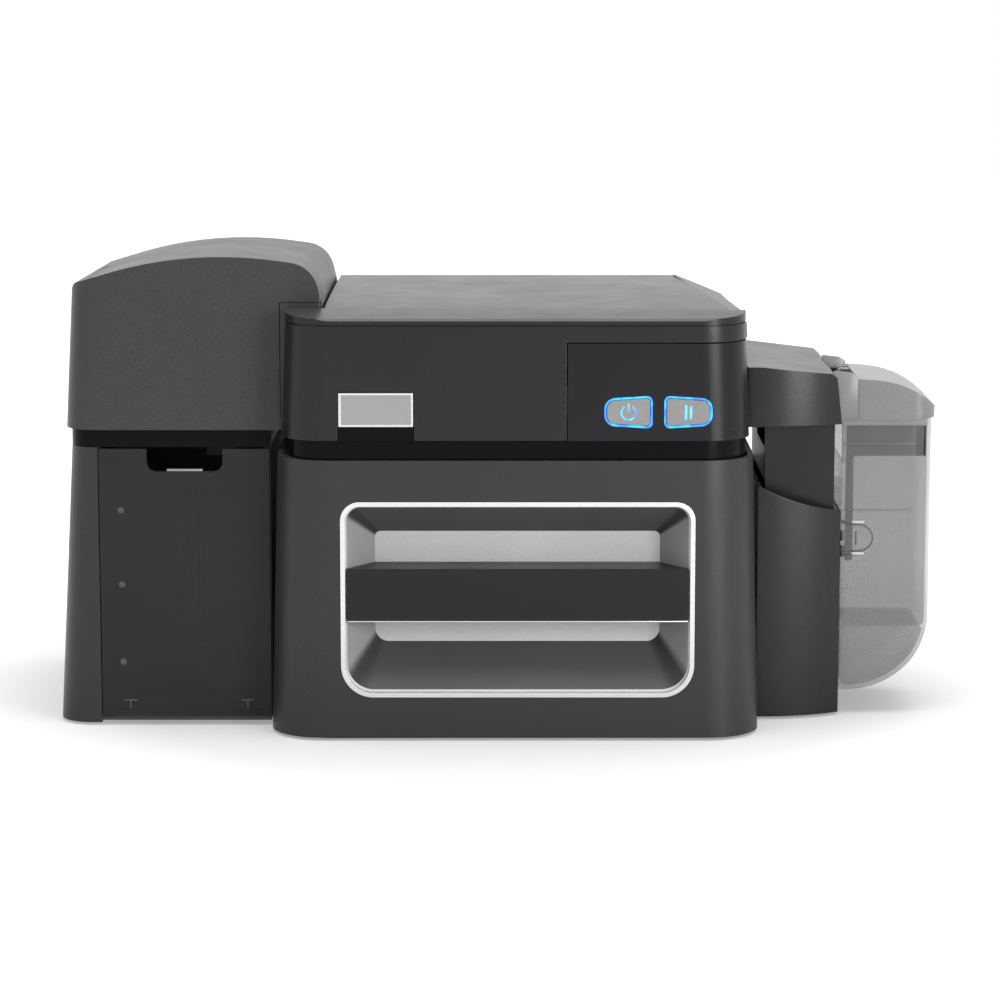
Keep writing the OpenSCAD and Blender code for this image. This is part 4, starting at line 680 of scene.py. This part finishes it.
class CARDPRINTER_OT_finishes(CardPrinterStep, bpy.types.Operator):
    """Make the materials and give every CAD node its own"""

    bl_idname = "card_printer.finishes"
    bl_label = "Finishes"

    def execute(self, context):
        build_moulded_grain()
        build_handling()
        build_drawn_metal()
        FINISHES.update(build_finishes())
        for finish_name, names in CAD_FINISHES.items():
            for name in names:
                finish(NODES[name], finish_name)
        return {"FINISHED"}


class CARDPRINTER_OT_casing(CardPrinterStep, bpy.types.Operator):
    """Round the edges of the body's mouldings"""

    bl_idname = "card_printer.casing"
    bl_label = "Casing"

    def execute(self, context):
        edge = sizes().edge / MM
        softened("base_tray", "base", "casing", 0)
        softened("main_casing", "base", "casing", 0)
        softened("waist_band", "base", "gloss", edge * 0.6)
        softened("rear_cover", "base", "casing", 0)
        softened("front_door", "front_door", "casing", edge)
        return {"FINISHED"}


class CARDPRINTER_OT_lid(CardPrinterStep, bpy.types.Operator):
    """Round the edges of the lid, its top and the panel set into it"""

    bl_idname = "card_printer.lid"
    bl_label = "Lid"

    rim_radius = 1.6  # of the edge between the lid's top and its front
    field_height = 17.7  # of the badge's bright field, down from the badge's top

    def execute(self, context):
        edge = sizes().edge / MM
        softened("lid_skirt", "lid", "lid", edge)
        self.round_front(softened("lid_top", "lid", "lid", 0))
        softened("control_panel", "lid", "panel", edge * 0.6)
        low, high = [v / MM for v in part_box("control_panel")]
        behind, above = low.y + 3.2, high.z + 2
        # Painted shade: a dark strip behind the seam over the control panel keeps the seam dark instead of
        # showing the lit parts inside the lid.
        shade_strip = bar("panel_seal", (low.x - 2, behind, above - 4.5), (high.x - 40, behind + 1.4, above), 0.2)
        fitted(shade_strip, "lid", "inner")
        badge = softened("badge_plate", "lid", "trim", sizes().fine_edge / MM)
        low, high = [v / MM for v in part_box("badge_plate")]
        field_low, rim = high.z - self.field_height, low.y + 0.3
        finish_faces(badge, "gloss", lambda at, normal: at.z < field_low)
        finish_faces(badge, "badge", lambda at, normal: at.z > field_low and at.y > rim and normal.y < -0.9)
        return {"FINISHED"}

    def round_front(self, piece):
        """Rounds only the rim between the lid's top and its front"""
        beside = {}
        for face in piece.data.polygons:
            for key in face.edge_keys:
                beside.setdefault(key, []).append(face.normal.z)
        near_front = min(v.co.y for v in piece.data.vertices) + 40 * MM
        edit(piece, "EDGE")
        leave_edit()
        for line in piece.data.edges:
            in_front = all(piece.data.vertices[v].co.y < near_front for v in line.vertices)
            upright, level = min(beside[line.key]), max(beside[line.key])
            line.select = in_front and level > 0.8 and abs(upright) < 0.3
        bpy.ops.object.mode_set(mode="EDIT")
        bpy.ops.mesh.bevel(offset=self.rim_radius * MM, segments=4, affect="EDGES", clamp_overlap=True)
        leave_edit()
        even_shading(piece)


class CARDPRINTER_OT_tower(CardPrinterStep, bpy.types.Operator):
    """Round the edges of the input tower, its hood and its two doors"""

    bl_idname = "card_printer.tower"
    bl_label = "Input tower"

    def execute(self, context):
        edge = sizes().edge / MM
        softened("tower_casing", "base", "casing", 0)
        softened("tower_band", "base", "gloss", edge * 0.6)
        softened("tower_hood", "base", "hood", 0)
        softened("hopper_door", "hopper_door", "hood", 0)
        softened("output_door", "output_door", "smoke", edge)
        return {"FINISHED"}


class CARDPRINTER_OT_recess(CardPrinterStep, bpy.types.Operator):
    """Round the edges of the front door's recess, its frame and the bar across it"""

    bl_idname = "card_printer.recess"
    bl_label = "Handle recess"

    def execute(self, context):
        fine = sizes().fine_edge / MM
        softened("recess_pan", "front_door", "silver", 0)
        softened("recess_bezel", "front_door", "trim", fine)
        softened("handle_bar", "front_door", "bar", sizes().edge / MM)
        return {"FINISHED"}


class CARDPRINTER_OT_output(CardPrinterStep, bpy.types.Operator):
    """Round the edges of the output module, the bin and its lid"""

    bl_idname = "card_printer.output"
    bl_label = "Output module and bin"

    def execute(self, context):
        edge = sizes().edge / MM
        softened("module_lower_cover", "base", "module", edge)
        softened("module_upper_cover", "base", "module", edge)
        softened("output_bin", "output_bin", "clear", edge * 0.6)
        softened("bin_lid", "bin_lid", "cover", edge * 0.6)
        return {"FINISHED"}


class CARDPRINTER_OT_buttons(CardPrinterStep, bpy.types.Operator):
    """Soften the two buttons and raise the power and pause symbols on them"""

    bl_idname = "card_printer.buttons"
    bl_label = "Buttons"

    raised, sunk = 0.12, 0.5  # of the symbols, in front of and behind a button's face
    pause_sides = (0.7, 1.9)  # of a pause bar, from the button's middle
    gap_half = math.radians(34)  # half the opening of the power ring

    def execute(self, context):
        fine = sizes().fine_edge / MM
        softened("power_button", "power_button", "mid_grey", fine)
        softened("pause_button", "pause_button", "mid_grey", fine)
        softened("button_rings", "lid", "ring", 0)
        half, stroke = sizes().symbol / MM / 2, sizes().stroke / MM
        for name in ("power_button", "pause_button"):
            low, high = [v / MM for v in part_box(name)]
            x, z = (low.x + high.x) / 2, (low.z + high.z) / 2
            y = (low.y - self.raised, low.y + self.sunk)
            if name == "power_button":
                stem = stroke / 2
                parts = [
                    self.open_ring("power_ring", x, z - 0.3, half, stroke, y),
                    bar("power_stem", (x - stem, y[0], z - 0.2), (x + stem, y[1], z + half * 1.2), 0.08),
                ]
            else:
                near, far = self.pause_sides
                parts = [
                    bar("pause_left", (x - far, y[0], z - half), (x - near, y[1], z + half), 0.1),
                    bar("pause_right", (x + near, y[0], z - half), (x + far, y[1], z + half), 0.1),
                ]
            fitted(joined(f"{name}_symbol", parts), name, "symbol")
        return {"FINISHED"}

    def open_ring(self, name, x, z, radius, stroke, y):
        """A flat ring open at the top, spun from one short edge"""
        pick_none()
        bpy.ops.mesh.primitive_plane_add(size=1, location=(0, 0, 0), rotation=(math.pi / 2, 0, 0))
        piece = settle(name)
        points = piece.data.vertices
        inner, outer = radius - stroke / 2, radius + stroke / 2
        corners = [(inner, y[0]), (outer, y[0]), (outer, y[1]), (inner, y[1])]
        sin, cos = math.sin(self.gap_half), math.cos(self.gap_half)
        order = sorted(range(4), key=lambda i: (points[i].co.z, points[i].co.x))
        for index, (r, depth) in zip([order[0], order[1], order[3], order[2]], corners):
            points[index].co = ((x + r * sin) * MM, depth * MM, (z + r * cos) * MM)
        edit(piece, "FACE")
        select_whole()
        turn = 2 * (math.pi - self.gap_half)
        bpy.ops.mesh.spin(steps=28, angle=turn, center=(x * MM, 0, z * MM), axis=(0, -1, 0))
        select_whole()
        bpy.ops.mesh.remove_doubles(threshold=0.001 * MM)
        bpy.ops.mesh.normals_make_consistent(inside=False)
        leave_edit()
        return smooth(piece)


class CARDPRINTER_OT_recess_trim(CardPrinterStep, bpy.types.Operator):
    """Lay the painted highlight under the bar of the handle recess: a thin bright strip in the trim's finish.
    """

    bl_idname = "card_printer.recess_trim"
    bl_label = "Line under the bar"

    def execute(self, context):
        low, high = [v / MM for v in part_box("handle_bar")]
        under, over = low.z - 0.55, low.z + 0.05
        # Painted highlight: a thin bright strip where light catches under the bar.
        line = bar("bar_underline", (low.x + 0.4, low.y, under), (high.x - 0.4, low.y + 1.6, over), 0.15)
        fitted(line, "front_door", "trim")
        return {"FINISHED"}


class CARDPRINTER_OT_door_trims(CardPrinterStep, bpy.types.Operator):
    """Add the finger ledge, the moulding gates and the hinge marks of the smoked output door"""

    bl_idname = "card_printer.door_trims"
    bl_label = "Output door trims"

    gate_heights = (116.5, 76.4, 34.5)  # above the floor
    mark_insets = (15, 13)  # of the hinge marks, from the door's left and right edges

    def execute(self, context):
        low, high = [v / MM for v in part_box("output_door")]
        front = low.y
        middle = (low.x + high.x) / 2 + 0.3
        lip = high.z - 10.8
        left, right = middle - 9.5, middle + 9.5
        ledge = bar("finger_ledge", (left, front + 0.3, lip - 1.2), (right, front + 2.2, lip), 0.3)
        fitted(ledge, "output_door", "badge")
        top = self.gate_heights[0]
        gate = disc("gate_1", (low.x + 11.5, front + 0.05, top), 1.7, 0.3, "y", 0.1, 24)
        lower = enumerate(self.gate_heights[1:], 2)
        gates = [gate] + [copied(gate, f"gate_{i}", (0, 0, z - top)) for i, z in lower]
        fitted(joined("moulding_gates", gates), "output_door", "inner")
        marks = []
        y = (front - 0.1, front + 0.3)
        for i, x in enumerate((low.x + self.mark_insets[0], high.x - self.mark_insets[1])):
            marks.append(bar(f"mark_top_{i}", (x - 3.5, y[0], 13.4), (x + 3.5, y[1], 14.1), 0.1))
            marks.append(bar(f"mark_stem_{i}", (x - 0.35, y[0], 9.2), (x + 0.35, y[1], 13.4), 0.1))
        fitted(joined("hinge_marks", marks), "output_door", "inner")
        return {"FINISHED"}


class CARDPRINTER_OT_bin_trims(CardPrinterStep, bpy.types.Operator):
    """Add the stop plate, post, lines and snap tab of the bin, and the cheeks of its lid's hinge"""

    bl_idname = "card_printer.bin_trims"
    bl_label = "Bin trims"

    rail_heights = (147.4, 148.6)
    pocket_heights = (111.6, 112.3)
    stop_heights = (84, 141)  # the post's foot and the plate's lower edge
    tab_height, tab_radius = 96.9, 7.4
    slot_offset, slot_width = 7.7, 1.8  # the slots' near edges from the tab's middle
    cheek_tops = (184.4, 186.6, 187.6)  # heights of a cheek's upper corners, from right to left

    def execute(self, context):
        low, high = [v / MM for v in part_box("output_bin")]
        left, inside, right = low.x + 2.4, low.y + 2.4, high.x - 1.2
        foot, edge = self.stop_heights
        plate = bar("stop_plate", (left, inside, edge), (right - 2.6, inside + 1.6, high.z - 3.5), 0.3)
        post = bar("stop_post", (left, inside, foot), (left + 4, inside + 4, edge + 0.2), 0.4)
        fitted(joined("card_stop", [plate, post]), "output_bin", "gloss")
        under, over = self.rail_heights
        rail = bar("bin_rail", (low.x + 0.4, low.y - 0.5, under), (right - 8, low.y + 0.4, over), 0.3)
        under, over = self.pocket_heights
        pocket = bar("pocket_line", (low.x + 0.2, low.y - 0.35, under), (right - 10, low.y + 0.3, over), 0.15)
        fitted(joined("bin_front_lines", [rail, pocket]), "output_bin", "clear")
        self.snap_tab(low)
        self.cheeks()
        return {"FINISHED"}

    def snap_tab(self, low):
        """The tab's rounded outline, its mark and the two slots beside it: dark bars at the slots' inner ends
        are painted shade, and pale silver bars at their outer ends are painted light of the room seen through
        """
        x, z, outer, inner = low.x + 9.8, self.tab_height, self.tab_radius, self.tab_radius - 0.6
        left = low.x + 5.5
        turns = [math.radians(90 - 15 * i) for i in range(13)]
        rim = [(left, z + outer)]
        rim += [(x + outer * math.cos(t), z + outer * math.sin(t)) for t in turns]
        rim += [(left, z - outer), (left, z - inner)]
        rim += [(x + inner * math.cos(t), z + inner * math.sin(t)) for t in reversed(turns)]
        rim.append((left, z + inner))
        outline = prism("tab_outline", rim, low.y - 0.5, low.y + 0.2, 0.12)
        mark = bar("tab_mark", (low.x + 7.6, low.y - 0.5, z - 3.9), (low.x + 8.3, low.y + 0.2, z + 3.6), 0.15)
        # Painted shade: dark bars fill the inner ends of the slots.
        inside = self.slots("slot_{}", low.x + 0.2, low.x + 5.8, low.y - 0.3, low.y + 0.5)
        fitted(joined("snap_tab", [outline, mark, *inside]), "output_bin", "inner")
        # Painted light: pale bars in the silver finish fill the slots' outer ends, where the bright room
        # shows through.
        painted_light_ends = self.slots("slot_{}_end", low.x + 5.7, low.x + 12.4, low.y - 0.35, low.y + 0.5)
        fitted(joined("slot_ends", painted_light_ends), "output_bin", "silver")

    def slots(self, name, left, right, front, back):
        """The lower and the upper slot beside the tab"""
        near, far = self.slot_offset, self.slot_offset + self.slot_width
        spans = (("low", -far, -near), ("high", near, far))
        return [bar(name.format(side), (left, front, self.tab_height + under),
                    (right, back, self.tab_height + over), 0.2) for side, under, over in spans]

    def cheeks(self):
        """The two cheeks beside the lid's hinge, which close the gap to the module"""
        low, high = [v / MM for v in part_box("bin_lid")]
        left, end = low.x - 7, low.x + 6.2
        right_top, middle_top, left_top = self.cheek_tops
        outline = [(left, low.z), (end, low.z), (end, right_top), (low.x + 2.4, middle_top), (left, left_top)]
        front = prism("hinge_cheek_front", outline, low.y - 2.2, low.y - 0.4, 0.35)
        rear = copied(front, "hinge_cheek_rear", (0, high.y - low.y + 2.6, 0))
        for cheek in (front, rear):
            fitted(cheek, "base", "cover")


class CARDPRINTER_OT_screws(CardPrinterStep, bpy.types.Operator):
    """Set cross-head screws on the backs of the mouldings, all copies of one"""

    bl_idname = "card_printer.screws"
    bl_label = "Cover screws"

    rows = (0.022, 0.128)  # heights on the backs of body and tower; these and the insets in metres
    module_rows = (0.025, 0.12)
    body_insets, tower_insets, cover_insets = (0.022, 0.022), (0.026, 0.016), (0.012, 0.018)
    cover_inset_up = 0.012

    def execute(self, context):
        radius = sizes().screw / MM / 2
        places = self.places()
        x, y, z = [v / MM for v in places[0]]
        head = disc("screw_head", (x, y + 0.35, z), radius, 0.9, "y", 0.3, 32)
        arm, half, front, back = radius * 0.6, 0.45, y + 0.6, y + 0.86
        # Painted shade: the cross recess is a dark inlay set just proud of the head, in place of the shade
        # inside a real recess.
        slots = [
            bar("cross_flat", (x - arm, front, z - half), (x + arm, back, z + half), 0.1),
            bar("cross_up", (x - half, front, z - arm), (x + half, back, z + arm), 0.1),
        ]
        cross = joined("screw_cross", slots)
        for index, place in enumerate(places):
            move = [p / MM - q for p, q in zip(place, (x, y, z))]
            fitted(copied(head, f"screw_{index + 1}", move), "base", "steel")
            fitted(copied(cross, f"screw_cross_{index + 1}", move), "base", "inner")
        for first in (head, cross):
            bpy.data.objects.remove(first)
        return {"FINISHED"}

    def places(self):
        """Where the screws sit: two rows on the body, the tower and the module, one on the rear cover"""
        body, tower, module = (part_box(n) for n in ("main_casing", "tower_casing", "module_lower_cover"))
        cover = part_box("rear_cover")
        middle = (module[0].x + module[1].x) / 2
        backs = (
            (body, self.inset(body, self.body_insets), self.rows),
            (tower, self.inset(tower, self.tower_insets), self.rows),
            (module, (middle,), self.module_rows),
            (cover, self.inset(cover, self.cover_insets), (cover[0].z + self.cover_inset_up,)),
        )
        return [(x, box[1].y, z) for box, across, heights in backs for x in across for z in heights]

    def inset(self, box, insets):
        """Two places on X, so far in from the left and right edges of a box"""
        return box[0].x + insets[0], box[1].x - insets[1]


class CARDPRINTER_OT_studio(CardPrinterStep, bpy.types.Operator):
    """Set the pale floor, the softboxes, the room light and the camera"""

    bl_idname = "card_printer.studio"
    bl_label = "Studio"

    # camera fitted to the photo: metres, degrees below level, millimetres of lens and sensor
    camera_place, camera_dip, camera_lens, camera_sensor = (0.001, -1.909, 0.4215), 9.3, 126, 36
    paper = (0.42, 0.42, 0.42, 1)
    glow_reach, glow = (0.2, 0.5), (0.3, 1.0)  # metres from the middle of the floor, and its light there; the weaker light near the middle draws painted shade round the object

    def execute(self, context):
        self.floor()
        self.room()
        lamp = studio()
        self.softbox("key_lamp", (0.05, -0.15, 1.55), (0, 0, 0.1), (1.5, 1.1), lamp.key_power)
        self.softbox("left_lamp", (-1.5, -1.3, 0.9), (-0.05, 0, 0.1), (0.9, 1.2), lamp.fill_power)
        self.softbox("right_lamp", (1.5, -1.2, 0.8), (0.05, 0, 0.1), (0.8, 1.1), lamp.fill_power * 0.5)
        self.softbox("right_strip", (0.95, -1.35, 0.3), (0.1, -0.1, 0.12), (0.5, 1.1), lamp.strip_power)
        pick_none()
        pitch = math.radians(90 - self.camera_dip)
        bpy.ops.object.camera_add(location=self.camera_place, rotation=(pitch, 0, 0))
        camera = bpy.context.object
        camera.name = "camera"
        camera.data.lens = self.camera_lens
        camera.data.sensor_width = self.camera_sensor
        camera.data.clip_start = 0.01
        context.scene.camera = camera
        context.scene.view_settings.view_transform = "Standard"
        return {"FINISHED"}

    def floor(self):
        """A wide flat floor of pale paper, which the camera sees go from grey near the object to white
        further out: painted shade round the object, on top of its real shadow
        """
        pick_none()
        bpy.ops.mesh.primitive_grid_add(x_subdivisions=4, y_subdivisions=4, size=8)
        piece = settle("studio_floor")
        made, nodes, links, shader = new_material("studio_paper")
        grain = placed_group(nodes, "Moulded grain", {
            "Color": self.paper, "Grains per metre": 900.0, "Tone": 0.005, "Speckle": 0.01,
            "Roughness": 0.9})
        links.new(grain.outputs["Color"], shader.inputs["Base Color"])
        links.new(grain.outputs["Roughness"], shader.inputs["Roughness"])
        shader.inputs["Specular IOR Level"].default_value = 0.0
        away = nodes.new("ShaderNodeVectorMath")
        away.operation = "LENGTH"
        links.new(nodes.new("ShaderNodeTexCoord").outputs["Object"], away.inputs[0])
        white = nodes.new("ShaderNodeEmission")
        # Painted shade: the glow the camera sees is weaker near the object, so the floor there is drawn
        # darker.
        fade = remapped(nodes, links, away.outputs["Value"], self.glow_reach, self.glow)
        links.new(fade, white.inputs["Color"])
        links.new(self.seen_directly(nodes, links), white.inputs["Strength"])
        both = nodes.new("ShaderNodeAddShader")
        links.new(shader.outputs[0], both.inputs[0])
        links.new(white.outputs[0], both.inputs[1])
        links.new(both.outputs[0], node_of(nodes, "OUTPUT_MATERIAL").inputs["Surface"])
        piece.data.materials.append(made)

    def room(self):
        """Plain light all round, shown as white to the camera, to gloss and through clear plastic"""
        world = bpy.data.worlds.new("studio_room")
        world.use_nodes = True
        nodes, links = world.node_tree.nodes, world.node_tree.links
        nodes.clear()
        mix = nodes.new("ShaderNodeMixShader")
        links.new(self.seen_directly(nodes, links), mix.inputs["Fac"])
        for at, strength in ((1, studio().room), (2, 1)):
            light = nodes.new("ShaderNodeBackground")
            light.inputs["Color"].default_value = (1, 1, 1, 1)
            light.inputs["Strength"].default_value = strength
            links.new(light.outputs[0], mix.inputs[at])
        links.new(mix.outputs[0], nodes.new("ShaderNodeOutputWorld").inputs["Surface"])
        bpy.context.scene.world = world

    def seen_directly(self, nodes, links):
        """1 for what the camera, a gloss reflection or clear plastic shows, else 0"""
        path = nodes.new("ShaderNodeLightPath").outputs
        value = path["Is Camera Ray"]
        for other in ("Is Glossy Ray", "Is Transmission Ray"):
            value = worked_out(nodes, links, "MAXIMUM", value, path[other])
        return value

    def softbox(self, name, place, target, size, power):
        """One soft rectangular lamp aimed at a point"""
        pick_none()
        aim = (Vector(target) - Vector(place)).to_track_quat("-Z", "Y").to_euler()
        bpy.ops.object.light_add(type="AREA", location=place, rotation=aim)
        lamp = bpy.context.object
        lamp.name = name
        lamp.data.shape = "RECTANGLE"
        lamp.data.size, lamp.data.size_y = size
        lamp.data.energy = power


# ---------------------------------------------------------------- panel, registration and the run


class CARDPRINTER_PT_sidebar(bpy.types.Panel):
    """Lists every step and the values that a user would change"""

    bl_idname = "CARDPRINTER_PT_sidebar"
    bl_label = "Card printer"
    bl_space_type = "VIEW_3D"
    bl_region_type = "UI"
    bl_category = "Card printer"

    def draw(self, context):
        for step in STEPS:
            self.layout.operator(step.bl_idname)
        for group in (colours(), sizes(), studio()):
            box = self.layout.box()
            for name in group.bl_rna.properties.keys():
                if name not in ("rna_type", "name"):
                    box.prop(group, name)


GROUPS = {
    "card_printer_colours": CardPrinterColours,
    "card_printer_sizes": CardPrinterSizes,
    "card_printer_studio": CardPrinterStudio,
}
STEPS = (
    CARDPRINTER_OT_finishes,
    CARDPRINTER_OT_casing,
    CARDPRINTER_OT_lid,
    CARDPRINTER_OT_tower,
    CARDPRINTER_OT_recess,
    CARDPRINTER_OT_output,
    CARDPRINTER_OT_buttons,
    CARDPRINTER_OT_recess_trim,
    CARDPRINTER_OT_door_trims,
    CARDPRINTER_OT_bin_trims,
    CARDPRINTER_OT_screws,
    CARDPRINTER_OT_studio,
)


def register():
    for name, group in GROUPS.items():
        bpy.utils.register_class(group)
        setattr(bpy.types.Scene, name, bpy.props.PointerProperty(type=group))
    for step in STEPS:
        bpy.utils.register_class(step)
    bpy.utils.register_class(CARDPRINTER_PT_sidebar)


def unregister():
    bpy.utils.unregister_class(CARDPRINTER_PT_sidebar)
    for step in reversed(STEPS):
        bpy.utils.unregister_class(step)
    for name, group in GROUPS.items():
        delattr(bpy.types.Scene, name)
        bpy.utils.unregister_class(group)


def main():
    """Builds everything in order."""
    register()
    for step in STEPS:
        group, name = step.bl_idname.split(".")
        getattr(getattr(bpy.ops, group), name)()


if __name__ == "__main__":
    main()
